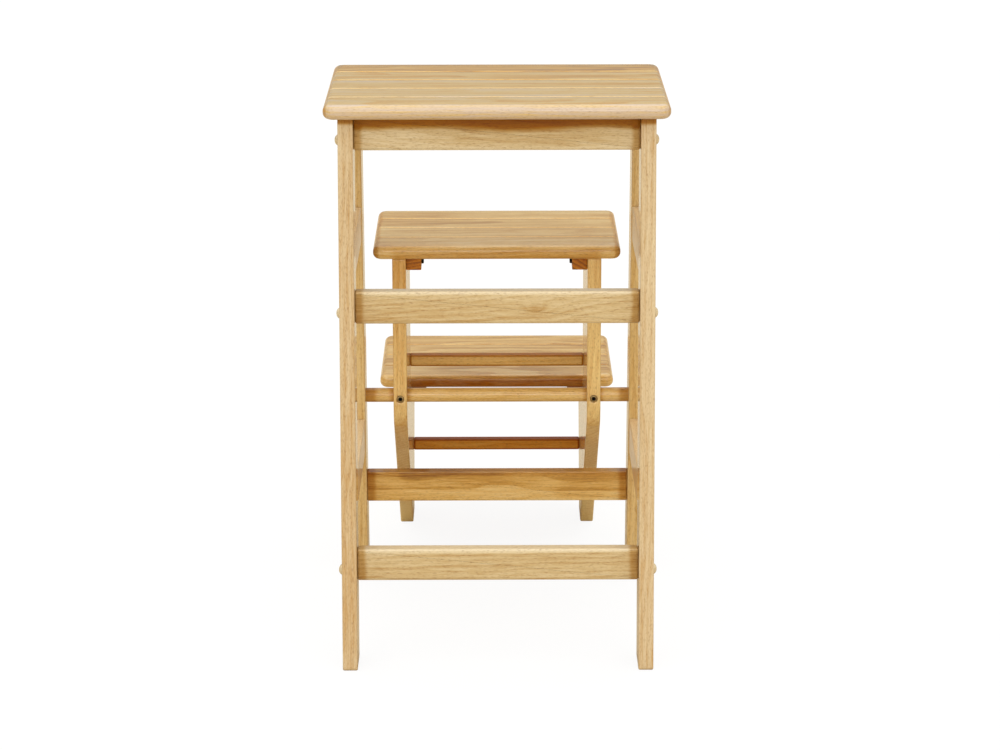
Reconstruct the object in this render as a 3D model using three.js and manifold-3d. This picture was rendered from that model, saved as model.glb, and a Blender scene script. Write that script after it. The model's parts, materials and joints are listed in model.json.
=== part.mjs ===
// Folding wooden step stool, in millimetres, +Z up, origin under the middle of the whole stool.
// The rear of the seat frame faces -Y. The step unit is swung out to +Y, standing on its own feet.
import * as THREE from "three";
import { mergeVertices } from "three/addons/utils/BufferGeometryUtils.js";
import Module from "manifold-3d";

const wasm = await Module();
wasm.setup();

// Seat and treads
const seatWidth = 400;
const seatDepth = 300;
const seatTop = 667.7;
const seatThickness = 17.2;
const seatCornerRadius = 13;
const seatStripCount = 5;
const boardEdgeRadius = 7.8;
const grooveWidth = 3.6;
const grooveDepth = 1.7;
const treadWidth = 309;
const treadDepth = 224;
const treadThickness = 17.2;
const treadCornerRadius = 11;
const treadStripCount = 4;

// Legs
const frameWidth = 367.2;
const legThickness = 17.7;
const legWidth = 54.3;
const baseDepth = 396.8;
const leanDegrees = 5.65;
const legEase = 1.8;
const footChamfer = 3;

// Rails between the two side frames
const apronHeight = 40.7;
const railHeight = 38.5;
const railThickness = 18;
const railEase = 2.2;
const lowRailBottom = 103.1;
const middleRailBottom = 408.2;

// Rails inside each side frame
const sideRailHeight = 42;
const sideRailShoulder = 0.9;
const sideRailEase = 1.2;
const upperSideRailBottom = 456.8;
const lowerSideRailBottom = 177.8;
const tenonLength = 15;
const tenonThickness = 8;
const tenonShoulder = 6;

// Frame screws, their domed plugs, and the screws that hold the seat
const frameScrewRise = 11.1;
const frameScrewLength = 38;
const frameScrewShank = 4.4;
const frameScrewHead = 8.4;
const frameScrewHeadHeight = 3;
const plugDiameter = 13;
const plugDome = 4.6;
const plugStem = 9.4;
const plugStemLength = 5;
const seatScrewInset = 26;
const seatScrewShank = 4;
const seatScrewHead = 8;
const seatScrewHeadHeight = 2.8;
const seatScrewSunk = 14;
const seatScrewBite = 10;

// Step unit
const pivotHeight = 244.9;
const dowelDiameter = 18;
const dowelChamfer = 1;
const dowelSeatDepth = 10;
const panelSpread = 261.6;
const panelThickness = 17.2;
const panelEase = 1.8;
const panelNearSetback = 16.1;
const panelCreaseHeight = 215.5;
const panelFootReach = 241;
const panelFootWidth = 62;
const panelFootRadius = 4;
const panelCreaseRadius = 40;
const panelRiserInset = 26;
const panelShelfInset = 17;
const middleTreadTop = 442.5;
const lowerTreadTop = 222.9;
const middleTreadSetback = 25.1;
const treadGoing = 201;

// Stretchers and cleats of the step unit
const stretcherSize = 14.7;
const stretcherEase = 1.2;
const stretcherTenon = 8;
const stretcherTenonShoulder = 2.6;
const upperStretcherReach = 144;
const upperStretcherBottom = 244.4;
const lowerStretcherReach = 305.5;
const lowerStretcherBottom = 83.1;
const cleatSize = 18.9;
const cleatLength = 150;
const cleatEase = 1;
const middleCleatInset = 27;
const lowerCleatInset = 56;

// Small screws of the step unit
const cleatScrewInset = 15;
const cleatScrewHead = 8.2;
const cleatScrewHeadHeight = 3;
const cleatScrewShank = 3.6;
const cleatScrewBite = 10;
const treadScrewHead = 8;
const treadScrewHeadHeight = 2.6;
const treadScrewSunk = 6;
const treadScrewShank = 3.6;
const treadScrewBite = 9.5;
const pivotScrewDrop = 1.8;
const pivotScrewHead = 8.6;
const pivotScrewHeadHeight = 3;
const pivotScrewSunk = 0.8;
const pivotScrewShank = 4.2;
const pivotScrewBite = 11;
const socketDepth = 1.7;
const socketShare = 0.5;
const panTopShare = 0.72;
const headEdgeShare = 0.3;

// Clearances and drawing steps
const glueGap = 0.15;
const runningGap = 0.1;
const seatGap = 0.3;
const overrun = 4;
const curveSteps = 4;
const roundSteps = 5;
const easeSteps = 2;
const boreSides = 16;
const socketSides = 6;
const screwSides = 12;
const dowelSides = 36;
const plugSides = 18;

// Sizes worked out from the ones above
const lean = Math.tan(THREE.MathUtils.degToRad(leanDegrees));
const seatUnderside = seatTop - seatThickness;
const legOuter = frameWidth / 2;
const legInner = legOuter - legThickness;
const apronBottom = seatUnderside - apronHeight;
const pivotReach = baseDepth / 2 - lean * pivotHeight - legWidth / 2;
const panelOuter = panelSpread / 2;
const panelInner = panelOuter - panelThickness;
const panelMiddle = (panelOuter + panelInner) / 2;
const panelNear = pivotReach - panelNearSetback;
const middleTreadNear = pivotReach - middleTreadSetback;
const lowerTreadNear = middleTreadNear + treadGoing;
const middleShelf = middleTreadTop - treadThickness;
const lowerShelf = lowerTreadTop - treadThickness;
const dowelRadius = dowelDiameter / 2;
const rearFoot = -baseDepth / 2;
const stepsFar = lowerTreadNear + treadDepth;

// How far from the middle of the seat frame the outer edge of a leg lies at a height
function legOuterEdge(height) {
  return baseDepth / 2 - lean * height;
}

function legInnerEdge(height) {
  return legOuterEdge(height) - legWidth;
}

// Frame axes: an outline is drawn as (y, z) and carried along +X
const acrossBasis = new THREE.Matrix4().makeBasis(
  new THREE.Vector3(0, 1, 0),
  new THREE.Vector3(0, 0, 1),
  new THREE.Vector3(1, 0, 0),
);

function polygonShape(points) {
  return new THREE.Shape(points.map(([a, b]) => new THREE.Vector2(a, b)));
}

// A closed outline whose corners are rounded; each point is [a, b, radius]
function roundedShape(points) {
  const shape = new THREE.Shape();
  points.forEach(([a, b, radius], index) => {
    const corner = new THREE.Vector2(a, b);
    const before = points[(index + points.length - 1) % points.length];
    const after = points[(index + 1) % points.length];
    const toBefore = new THREE.Vector2(before[0], before[1]).sub(corner).normalize();
    const toAfter = new THREE.Vector2(after[0], after[1]).sub(corner).normalize();
    const halfAngle = Math.acos(THREE.MathUtils.clamp(toBefore.dot(toAfter), -1, 1)) / 2;
    const cutBack = radius / Math.tan(halfAngle);
    const start = corner.clone().addScaledVector(toBefore, cutBack);
    const end = corner.clone().addScaledVector(toAfter, cutBack);
    if (index === 0) shape.moveTo(start.x, start.y);
    else shape.lineTo(start.x, start.y);
    if (radius > 0) shape.quadraticCurveTo(corner.x, corner.y, end.x, end.y);
  });
  shape.closePath();
  return shape;
}

// A board of a given thickness whose outline edges are rounded on both faces
function easedBoard(shape, thickness, ease, steps) {
  return new THREE.ExtrudeGeometry(shape, {
    depth: thickness - 2 * ease,
    bevelEnabled: true,
    bevelThickness: ease,
    bevelSize: ease,
    bevelOffset: -ease,
    bevelSegments: steps,
    curveSegments: curveSteps,
  }).translate(0, 0, ease);
}

// The same board standing in the (y, z) plane, from x to x + thickness
function uprightBoard(shape, x, thickness, ease) {
  return easedBoard(shape, thickness, ease, easeSteps).applyMatrix4(acrossBasis).translate(x, 0, 0);
}

// A bar with one section all along, from one x to another
function crossBar(shape, xStart, xEnd) {
  return new THREE.ExtrudeGeometry(shape, {
    depth: xEnd - xStart,
    bevelEnabled: false,
    curveSegments: curveSteps,
  }).applyMatrix4(acrossBasis).translate(xStart, 0, 0);
}

// A box given by its lowest and highest corner
function boxBetween(low, high) {
  const size = high.map((value, axis) => value - low[axis]);
  const middle = high.map((value, axis) => (value + low[axis]) / 2);
  return new THREE.BoxGeometry(...size).translate(...middle);
}

// A round bar from a start point along a unit direction
function rod(start, direction, length, radius, sides) {
  const axis = new THREE.Vector3(...direction);
  const turn = new THREE.Quaternion().setFromUnitVectors(new THREE.Vector3(0, 1, 0), axis);
  const middle = new THREE.Vector3(...start).addScaledVector(axis, length / 2);
  return new THREE.CylinderGeometry(radius, radius, length, sides)
    .applyQuaternion(turn)
    .translate(middle.x, middle.y, middle.z);
}

// A turned piece: the profile is [radius, distance along the axis] from the start point
function turned(profile, start, direction, sides) {
  const axis = new THREE.Vector3(...direction);
  const turn = new THREE.Quaternion().setFromUnitVectors(new THREE.Vector3(0, 1, 0), axis);
  return new THREE.LatheGeometry(profile.map(([r, d]) => new THREE.Vector2(r, d)), sides)
    .applyQuaternion(turn)
    .translate(...start);
}

function solidFrom(geometry) {
  const bare = geometry.index ? geometry.toNonIndexed() : geometry.clone();
  bare.deleteAttribute("normal");
  bare.deleteAttribute("uv");
  const merged = mergeVertices(bare);
  return new wasm.Manifold(
    new wasm.Mesh({
      numProp: 3,
      vertProperties: merged.attributes.position.array,
      triVerts: new Uint32Array(merged.index.array),
    }),
  );
}

function geometryFrom(solid) {
  const { vertProperties, triVerts } = solid.getMesh();
  const indexed = new THREE.BufferGeometry();
  indexed.setAttribute("position", new THREE.BufferAttribute(new Float32Array(vertProperties), 3));
  indexed.setIndex(new THREE.BufferAttribute(new Uint32Array(triVerts), 1));
  const flat = indexed.toNonIndexed();
  flat.computeVertexNormals();
  return flat;
}

// One body with other shapes joined on and cut away
function shaped(body, { joins = [], cuts = [] }) {
  let solid = solidFrom(body);
  for (const piece of joins) solid = solid.add(solidFrom(piece));
  for (const piece of cuts) solid = solid.subtract(solidFrom(piece));
  return geometryFrom(solid);
}

// Finishes
const varnishedWood = { color: 0xd3a765, roughness: 0.38, metalness: 0 };
const paleWood = { color: 0xdcb77c, roughness: 0.38, metalness: 0 };
const darkWood = { color: 0x8a5526, roughness: 0.45, metalness: 0 };
const blackSteel = { color: 0x1e1c1a, roughness: 0.4, metalness: 0.8 };
const bronzedSteel = { color: 0x5a4a34, roughness: 0.35, metalness: 0.9 };

const stool = new THREE.Group();
stool.position.y = -(rearFoot + stepsFar) / 2;
const seatFrame = new THREE.Group();
const stepUnit = new THREE.Group();
stool.add(seatFrame, stepUnit);

function place(group, name, geometry, finish) {
  const mesh = new THREE.Mesh(geometry, new THREE.MeshStandardMaterial(finish));
  mesh.name = name;
  group.add(mesh);
}

const sides = [
  { label: "left", sign: -1 },
  { label: "right", sign: 1 },
];

// Seat and treads: one board with rounded edges and V-grooves between its strips
function groovedBoard({ width, depth, thickness, cornerRadius, stripCount, near, underside }) {
  const outline = roundedShape([
    [-width / 2, near, cornerRadius],
    [width / 2, near, cornerRadius],
    [width / 2, near + depth, cornerRadius],
    [-width / 2, near + depth, cornerRadius],
  ]);
  const board = easedBoard(outline, thickness, boardEdgeRadius, roundSteps).translate(0, 0, underside);
  const top = underside + thickness;
  const strip = depth / stripCount;
  const cuts = [];
  for (let groove = 1; groove < stripCount; groove += 1) {
    const middle = near + groove * strip;
    const shape = polygonShape([
      [middle, top - grooveDepth],
      [middle + grooveWidth, top + grooveDepth],
      [middle - grooveWidth, top + grooveDepth],
    ]);
    cuts.push(crossBar(shape, -width / 2 - overrun, width / 2 + overrun));
  }
  return { board, cuts };
}

// Cross rails of the seat frame, with the end (-1 rear, 1 front) of the frame that each joins
const crossRails = [
  { name: "rear_apron", end: -1, bottom: apronBottom, height: apronHeight },
  { name: "rear_middle_rail", end: -1, bottom: middleRailBottom, height: railHeight },
  { name: "rear_bottom_rail", end: -1, bottom: lowRailBottom, height: railHeight },
  { name: "front_rail", end: 1, bottom: lowRailBottom, height: railHeight },
];

// A cross rail stands in the middle of the width of its legs
function crossRailMiddle({ end, bottom, height }) {
  return end * (legOuterEdge(bottom + height / 2) - legWidth / 2);
}

const sideRails = [
  { name: "side_rail_top", bottom: apronBottom, height: apronHeight },
  { name: "side_rail_upper", bottom: upperSideRailBottom, height: sideRailHeight },
  { name: "side_rail_lower", bottom: lowerSideRailBottom, height: sideRailHeight },
];

// Where the screws through the top side rails go up into the seat
const seatScrewPlaces = [-1, 1].map((end) => end * (legInnerEdge(seatUnderside) - seatScrewInset));

// Counterbored hole of one frame screw, from the outer face of a leg inwards
function frameScrewHole(rail, sign) {
  const middle = crossRailMiddle(rail);
  const height = rail.bottom + frameScrewRise;
  const start = [sign * (legOuter + overrun), middle, height];
  const inward = [-sign, 0, 0];
  const headRoom = overrun + plugStemLength + seatGap + frameScrewHeadHeight;
  const whole = headRoom + frameScrewLength + seatGap;
  return [
    rod(start, inward, headRoom, plugStem / 2 + glueGap, boreSides),
    rod(start, inward, whole, frameScrewShank / 2 + glueGap, boreSides),
  ];
}

// A leg: leaning board with a chamfered foot, mortises for the side rails and holes for the screws
function leg(end, sign) {
  const x = sign > 0 ? legInner : -legOuter;
  const outline = [
    [end * (legOuterEdge(0) - footChamfer), 0],
    [end * legOuterEdge(footChamfer), footChamfer],
    [end * legOuterEdge(seatUnderside), seatUnderside],
    [end * legInnerEdge(seatUnderside), seatUnderside],
    [end * legInnerEdge(footChamfer), footChamfer],
    [end * (legInnerEdge(0) + footChamfer), 0],
  ];
  const shape = polygonShape(outline);
  const cuts = sideRails.map((rail) => mortise(rail, end, x));
  for (const rail of crossRails) {
    if (rail.end === end) cuts.push(...frameScrewHole(rail, sign));
  }
  if (end > 0) cuts.push(bearingHole(sign));
  return shaped(uprightBoard(shape, x, legThickness, legEase), { cuts });
}

function tenonHeights({ bottom, height }) {
  return [bottom + tenonShoulder, bottom + height - tenonShoulder];
}

// The pocket in a leg's inner edge that takes the tenon of a side rail
function mortise(rail, end, x) {
  const [low, high] = tenonHeights(rail);
  const xMiddle = x + legThickness / 2;
  const half = tenonThickness / 2 + glueGap;
  const mouth = legInnerEdge(high) - overrun;
  const floor = legInnerEdge(low) + tenonLength + seatGap;
  const reach = [end * mouth, end * floor].sort((a, b) => a - b);
  return boxBetween(
    [xMiddle - half, reach[0], low - glueGap],
    [xMiddle + half, reach[1], high + glueGap],
  );
}

// Blind hole in a front leg where an end of the dowel turns
function bearingHole(sign) {
  const start = [sign * (legInner - overrun), pivotReach, pivotHeight];
  const depth = overrun + dowelSeatDepth + seatGap;
  return rod(start, [sign, 0, 0], depth, dowelRadius + runningGap, dowelSides);
}

// A side rail: ends cut to the lean of the legs, with a stub tenon at each end
function sideRail(rail, sign) {
  const { bottom, height } = rail;
  const top = bottom + height;
  const x = sign > 0 ? legInner : -legOuter;
  const shoulder = (z) => legInnerEdge(z) - glueGap;
  const shape = polygonShape([
    [-shoulder(bottom), bottom],
    [shoulder(bottom), bottom],
    [shoulder(top), top],
    [-shoulder(top), top],
  ]);
  const thickness = legThickness - 2 * sideRailShoulder;
  const body = uprightBoard(shape, x + sideRailShoulder, thickness, sideRailEase);
  const [low, high] = tenonHeights(rail);
  const xMiddle = x + legThickness / 2;
  const reach = legInnerEdge(low) + tenonLength;
  const tenons = boxBetween(
    [xMiddle - tenonThickness / 2, -reach, low],
    [xMiddle + tenonThickness / 2, reach, high],
  );
  return shaped(body, { joins: [tenons], cuts: bottom === apronBottom ? seatScrewHoles(sign) : [] });
}

function crossRail(rail) {
  const middle = crossRailMiddle(rail);
  const near = middle - railThickness / 2;
  const far = middle + railThickness / 2;
  const shape = roundedShape([
    [near, rail.bottom, railEase],
    [far, rail.bottom, railEase],
    [far, rail.bottom + rail.height, railEase],
    [near, rail.bottom + rail.height, railEase],
  ]);
  const cuts = sides.flatMap(({ sign }) => frameScrewHole(rail, sign));
  return shaped(crossBar(shape, -legInner, legInner), { cuts });
}

// Profile of a screw: head with a hex socket, shank and a short point, along its own axis
function screw({ start, direction, head, headHeight, shank, length }) {
  const tip = shank / 2;
  const profile = [
    [0, 0],
    [(head / 2) * panTopShare, 0],
    [head / 2, headHeight * headEdgeShare],
    [head / 2, headHeight],
    [shank / 2, headHeight],
    [shank / 2, headHeight + length - tip],
    [0, headHeight + length],
  ];
  const body = turned(profile, start, direction, screwSides);
  const outward = direction.map((value) => -value);
  const floor = start.map((value, axis) => value + direction[axis] * socketDepth);
  const socket = rod(floor, outward, socketDepth + overrun, (head * socketShare) / 2, socketSides);
  return shaped(body, { cuts: [socket] });
}

function frameScrew(rail, sign) {
  const sunk = plugStemLength + seatGap;
  return screw({
    start: [sign * (legOuter - sunk), crossRailMiddle(rail), rail.bottom + frameScrewRise],
    direction: [-sign, 0, 0],
    head: frameScrewHead,
    headHeight: frameScrewHeadHeight,
    shank: frameScrewShank,
    length: frameScrewLength,
  });
}

// Domed plug: a turned button whose stem closes the hole over a frame screw
function plug(rail, sign) {
  const profile = [
    [0, 0],
    [plugStem / 2, 0],
    [plugStem / 2, plugStemLength],
    [plugDiameter / 2, plugStemLength],
  ];
  for (let step = 1; step <= roundSteps; step += 1) {
    const angle = (step / roundSteps) * (Math.PI / 2);
    const radius = step === roundSteps ? 0 : (Math.cos(angle) * plugDiameter) / 2;
    profile.push([radius, plugStemLength + Math.sin(angle) * plugDome]);
  }
  const start = [sign * (legOuter - plugStemLength), crossRailMiddle(rail), rail.bottom + frameScrewRise];
  return turned(profile, start, [sign, 0, 0], plugSides);
}

function seatScrewHole(sign, y) {
  const start = [sign * (legOuter + legInner) / 2, y, apronBottom - overrun];
  const headRoom = overrun + seatScrewSunk + seatScrewHeadHeight;
  const whole = seatUnderside + seatScrewBite + seatGap - start[2];
  return [
    rod(start, [0, 0, 1], headRoom, seatScrewHead / 2 + seatGap, boreSides),
    rod(start, [0, 0, 1], whole, seatScrewShank / 2 + glueGap, boreSides),
  ];
}

function seatScrewHoles(sign) {
  return seatScrewPlaces.flatMap((y) => seatScrewHole(sign, y));
}

function seatScrew(sign, y) {
  const start = [sign * (legOuter + legInner) / 2, y, apronBottom + seatScrewSunk];
  return screw({
    start,
    direction: [0, 0, 1],
    head: seatScrewHead,
    headHeight: seatScrewHeadHeight,
    shank: seatScrewShank,
    length: seatUnderside + seatScrewBite - start[2] - seatScrewHeadHeight,
  });
}

function seat() {
  const { board, cuts } = groovedBoard({
    width: seatWidth,
    depth: seatDepth,
    thickness: seatThickness,
    cornerRadius: seatCornerRadius,
    stripCount: seatStripCount,
    near: -seatDepth / 2,
    underside: seatUnderside,
  });
  const holes = sides.flatMap(({ sign }) => seatScrewHoles(sign));
  return shaped(board, { cuts: [...cuts, ...holes] });
}

// The two treads, each with the start of its cleats
const treads = [
  { name: "middle", near: middleTreadNear, top: middleTreadTop, cleatInset: middleCleatInset },
  { name: "lower", near: lowerTreadNear, top: lowerTreadTop, cleatInset: lowerCleatInset },
];

const stretchers = [
  { name: "upper_stretcher", near: pivotReach + upperStretcherReach, bottom: upperStretcherBottom },
  { name: "lower_stretcher", near: pivotReach + lowerStretcherReach, bottom: lowerStretcherBottom },
];

function cleatEnds(tread) {
  const start = tread.near + tread.cleatInset;
  return [start, start + cleatLength];
}

function cleatScrewPlaces(tread) {
  const [start, end] = cleatEnds(tread);
  return [start + cleatScrewInset, end - cleatScrewInset];
}

// Stair-shaped side panel, the near edge upright above the crease and raked below it
function sidePanel(sign) {
  const x = sign > 0 ? panelInner : -panelOuter;
  const riser = middleTreadNear + treadDepth - panelRiserInset;
  const shape = roundedShape([
    [panelNear, middleShelf, 0],
    [panelNear, panelCreaseHeight, panelCreaseRadius],
    [pivotReach + panelFootReach, 0, panelFootRadius],
    [pivotReach + panelFootReach + panelFootWidth, 0, panelFootRadius],
    [stepsFar - panelShelfInset, lowerShelf, 0],
    [riser, lowerShelf, 0],
    [riser, middleShelf, 0],
  ]);
  const cuts = [dowelHole(), pivotScrewHole(sign), ...stretchers.map(stretcherMortise)];
  for (const step of treads) {
    for (const y of cleatScrewPlaces(step)) cuts.push(cleatScrewHole(step, sign, y));
  }
  return shaped(uprightBoard(shape, x, panelThickness, panelEase), { cuts: cuts.flat() });
}

function dowelHole() {
  const start = [-panelOuter - overrun, pivotReach, pivotHeight];
  return rod(start, [1, 0, 0], panelSpread + 2 * overrun, dowelRadius + glueGap, dowelSides);
}

// The dowel turns in the front legs and carries the two side panels
function pivotDowel() {
  const end = legInner + dowelSeatDepth;
  const profile = [
    [0, 0],
    [dowelRadius - dowelChamfer, 0],
    [dowelRadius, dowelChamfer],
    [dowelRadius, 2 * end - dowelChamfer],
    [dowelRadius - dowelChamfer, 2 * end],
    [0, 2 * end],
  ];
  const body = turned(profile, [-end, pivotReach, pivotHeight], [1, 0, 0], dowelSides);
  return shaped(body, { cuts: sides.flatMap(({ sign }) => pivotScrewHole(sign)) });
}

// A pivot screw goes in through the near edge of a panel and bites into the dowel
function pivotScrewStart(sign) {
  return [sign * panelMiddle, panelNear + pivotScrewSunk, pivotHeight - pivotScrewDrop];
}

function pivotScrewLength() {
  return panelNearSetback - dowelRadius - pivotScrewSunk - pivotScrewHeadHeight + pivotScrewBite;
}

function pivotScrewHole(sign) {
  const [x, y, z] = pivotScrewStart(sign);
  const mouth = [x, y - pivotScrewSunk - overrun, z];
  const headRoom = overrun + pivotScrewSunk + pivotScrewHeadHeight;
  const whole = headRoom + pivotScrewLength() + seatGap;
  return [
    rod(mouth, [0, 1, 0], headRoom, pivotScrewHead / 2 + glueGap, boreSides),
    rod(mouth, [0, 1, 0], whole, pivotScrewShank / 2 + glueGap, boreSides),
  ];
}

function pivotScrew(sign) {
  return screw({
    start: pivotScrewStart(sign),
    direction: [0, 1, 0],
    head: pivotScrewHead,
    headHeight: pivotScrewHeadHeight,
    shank: pivotScrewShank,
    length: pivotScrewLength(),
  });
}

function stretcherTenonBox({ near, bottom }, reach, gap) {
  const low = stretcherTenonShoulder - gap;
  const high = stretcherSize - stretcherTenonShoulder + gap;
  return boxBetween([-reach, near + low, bottom + low], [reach, near + high, bottom + high]);
}

function stretcherMortise(stretcher) {
  return stretcherTenonBox(stretcher, panelInner + stretcherTenon + seatGap, glueGap);
}

// A square stretcher with a stub tenon at each end
function stretcher(place) {
  const { near, bottom } = place;
  const shape = roundedShape([
    [near, bottom, stretcherEase],
    [near + stretcherSize, bottom, stretcherEase],
    [near + stretcherSize, bottom + stretcherSize, stretcherEase],
    [near, bottom + stretcherSize, stretcherEase],
  ]);
  const tenons = stretcherTenonBox(place, panelInner + stretcherTenon, 0);
  return shaped(crossBar(shape, -panelInner, panelInner), { joins: [tenons] });
}

// A cleat fills the corner between a panel and the tread above it
function cleat(tread, sign) {
  const [start, end] = cleatEnds(tread);
  const top = tread.top - treadThickness;
  const x = sign > 0 ? panelInner - cleatSize : -panelInner;
  const shape = polygonShape([
    [start, top - cleatSize],
    [end, top - cleatSize],
    [end, top],
    [start, top],
  ]);
  const cuts = cleatScrewPlaces(tread).flatMap((y) => cleatScrewHole(tread, sign, y));
  cuts.push(...treadScrewHole(tread, sign));
  return shaped(uprightBoard(shape, x, cleatSize, cleatEase), { cuts });
}

// Pan-headed screw through a cleat into the panel, its head standing on the cleat
function cleatScrewStart(tread, sign, y) {
  const height = tread.top - treadThickness - cleatSize / 2;
  return [sign * (panelInner - cleatSize - cleatScrewHeadHeight), y, height];
}

function cleatScrewHole(tread, sign, y) {
  const start = cleatScrewStart(tread, sign, y);
  const length = cleatScrewHeadHeight + cleatSize + cleatScrewBite + seatGap;
  return [rod(start, [sign, 0, 0], length, cleatScrewShank / 2 + glueGap, screwSides)];
}

function cleatScrew(tread, sign, y) {
  return screw({
    start: cleatScrewStart(tread, sign, y),
    direction: [sign, 0, 0],
    head: cleatScrewHead,
    headHeight: cleatScrewHeadHeight,
    shank: cleatScrewShank,
    length: cleatSize + cleatScrewBite,
  });
}

// Screw from below through a cleat into the tread, its head sunk in the cleat
function treadScrewStart(tread, sign) {
  const [start, end] = cleatEnds(tread);
  const underside = tread.top - treadThickness - cleatSize;
  return [sign * (panelInner - cleatSize / 2), (start + end) / 2, underside + treadScrewSunk];
}

function treadScrewHole(tread, sign) {
  const [x, y, z] = treadScrewStart(tread, sign);
  const mouth = [x, y, z - treadScrewSunk - overrun];
  const headRoom = overrun + treadScrewSunk + treadScrewHeadHeight;
  const whole = overrun + cleatSize + treadScrewBite + seatGap;
  return [
    rod(mouth, [0, 0, 1], headRoom, treadScrewHead / 2 + glueGap, boreSides),
    rod(mouth, [0, 0, 1], whole, treadScrewShank / 2 + glueGap, screwSides),
  ];
}

function treadScrew(tread, sign) {
  return screw({
    start: treadScrewStart(tread, sign),
    direction: [0, 0, 1],
    head: treadScrewHead,
    headHeight: treadScrewHeadHeight,
    shank: treadScrewShank,
    length: cleatSize + treadScrewBite - treadScrewSunk - treadScrewHeadHeight,
  });
}

function tread(place) {
  const { board, cuts } = groovedBoard({
    width: treadWidth,
    depth: treadDepth,
    thickness: treadThickness,
    cornerRadius: treadCornerRadius,
    stripCount: treadStripCount,
    near: place.near,
    underside: place.top - treadThickness,
  });
  const holes = sides.flatMap(({ sign }) => treadScrewHole(place, sign));
  return shaped(board, { cuts: [...cuts, ...holes] });
}

// Seat frame
place(seatFrame, "seat", seat(), paleWood);
for (const { label, sign } of sides) {
  place(seatFrame, `rear_leg_${label}`, leg(-1, sign), varnishedWood);
  place(seatFrame, `front_leg_${label}`, leg(1, sign), varnishedWood);
  for (const rail of sideRails) {
    place(seatFrame, `${rail.name}_${label}`, sideRail(rail, sign), varnishedWood);
  }
  for (const rail of crossRails) {
    place(seatFrame, `${rail.name}_screw_${label}`, frameScrew(rail, sign), bronzedSteel);
    place(seatFrame, `${rail.name}_plug_${label}`, plug(rail, sign), paleWood);
  }
  seatScrewPlaces.forEach((y, index) => {
    place(seatFrame, `seat_screw_${label}_${index + 1}`, seatScrew(sign, y), bronzedSteel);
  });
}
for (const rail of crossRails) place(seatFrame, rail.name, crossRail(rail), varnishedWood);

// Step unit
place(stepUnit, "pivot_dowel", pivotDowel(), paleWood);
for (const step of treads) place(stepUnit, `${step.name}_tread`, tread(step), paleWood);
for (const bar of stretchers) place(stepUnit, bar.name, stretcher(bar), darkWood);
for (const { label, sign } of sides) {
  place(stepUnit, `side_panel_${label}`, sidePanel(sign), varnishedWood);
  place(stepUnit, `pivot_screw_${label}`, pivotScrew(sign), bronzedSteel);
  for (const step of treads) {
    place(stepUnit, `${step.name}_cleat_${label}`, cleat(step, sign), darkWood);
    place(stepUnit, `${step.name}_tread_screw_${label}`, treadScrew(step, sign), blackSteel);
    cleatScrewPlaces(step).forEach((y, index) => {
      const name = `${step.name}_cleat_screw_${label}_${index + 1}`;
      place(stepUnit, name, cleatScrew(step, sign, y), blackSteel);
    });
  }
}

export default stool;
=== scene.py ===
"""Looks of a folding wooden step stool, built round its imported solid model.

Each wooden piece is a new surface worked out with numpy in the place of its solid, with eased
edges and smooth rounds, and wears a varnished wood whose grain runs the way the piece was cut.
Places are in metres: x from side to side, y from the rear legs to the steps, z up from the floor.
"""

import json
import logging
import math
from dataclasses import dataclass, field, replace
from enum import Enum
from typing import Any, Sequence

import bpy
import numpy as np
from mathutils import Matrix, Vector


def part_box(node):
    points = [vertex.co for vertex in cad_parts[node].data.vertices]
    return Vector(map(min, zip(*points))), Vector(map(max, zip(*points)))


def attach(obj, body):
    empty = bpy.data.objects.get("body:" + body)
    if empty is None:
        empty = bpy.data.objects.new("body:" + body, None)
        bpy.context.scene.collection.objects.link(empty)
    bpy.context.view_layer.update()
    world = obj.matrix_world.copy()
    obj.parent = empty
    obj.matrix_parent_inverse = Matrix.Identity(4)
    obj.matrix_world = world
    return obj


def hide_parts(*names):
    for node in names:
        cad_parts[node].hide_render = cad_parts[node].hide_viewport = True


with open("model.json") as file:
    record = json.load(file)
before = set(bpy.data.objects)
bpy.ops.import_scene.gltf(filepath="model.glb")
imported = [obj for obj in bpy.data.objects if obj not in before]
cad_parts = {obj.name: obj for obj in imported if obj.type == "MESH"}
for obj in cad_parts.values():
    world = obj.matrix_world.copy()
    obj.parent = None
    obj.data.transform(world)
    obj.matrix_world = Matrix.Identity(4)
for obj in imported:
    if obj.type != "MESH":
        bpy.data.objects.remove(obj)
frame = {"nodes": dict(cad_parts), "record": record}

LOG = logging.getLogger("step_stool")
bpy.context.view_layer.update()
SIDES: tuple[tuple[str, int], ...] = (("left", -1), ("right", 1))
EDGE = "edge_share"
Colour = tuple[float, float, float, float]
Span = tuple[float, float]
WHITE: Colour = (1.0, 1.0, 1.0, 1.0)

# Small lengths that keep the shading clean: the softening of a hole's mouth and of a groove's
# lips; flat runs beside a rounded corner, inside an easing and on a face; the wood kept round a
# hole's mouth; and the room round a sunk screw head. Then how much deeper than the head such a
# hole goes, as a share of its radius, and the digits that a grid's lines are rounded to.
LIP = 0.0002
CORNER_LEAD = 0.0007
EASE_LEAD = 0.0004
FACE_LEAD = 0.0003
MOUTH_ROOM = 0.0012
HEAD_ROOM = 0.0003
SINK_SHARE = 0.6
GRID_DIGITS = 6


class Plane(Enum):
    """The plane that a board's outline is drawn in: first axis, second axis, thickness axis."""

    UPRIGHT_SIDE = (1, 2, 0)
    UPRIGHT_FACE = (2, 0, 1)


class Grain(Enum):
    """The way the fibres of a piece run: along, across and through it, as axis numbers."""

    CROSSWISE_FLAT = (0, 1, 2)
    CROSSWISE_UPRIGHT = (0, 2, 1)
    LENGTHWISE = (1, 2, 0)
    UPRIGHT = (2, 1, 0)
    UPRIGHT_EDGE = (2, 0, 1)


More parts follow.
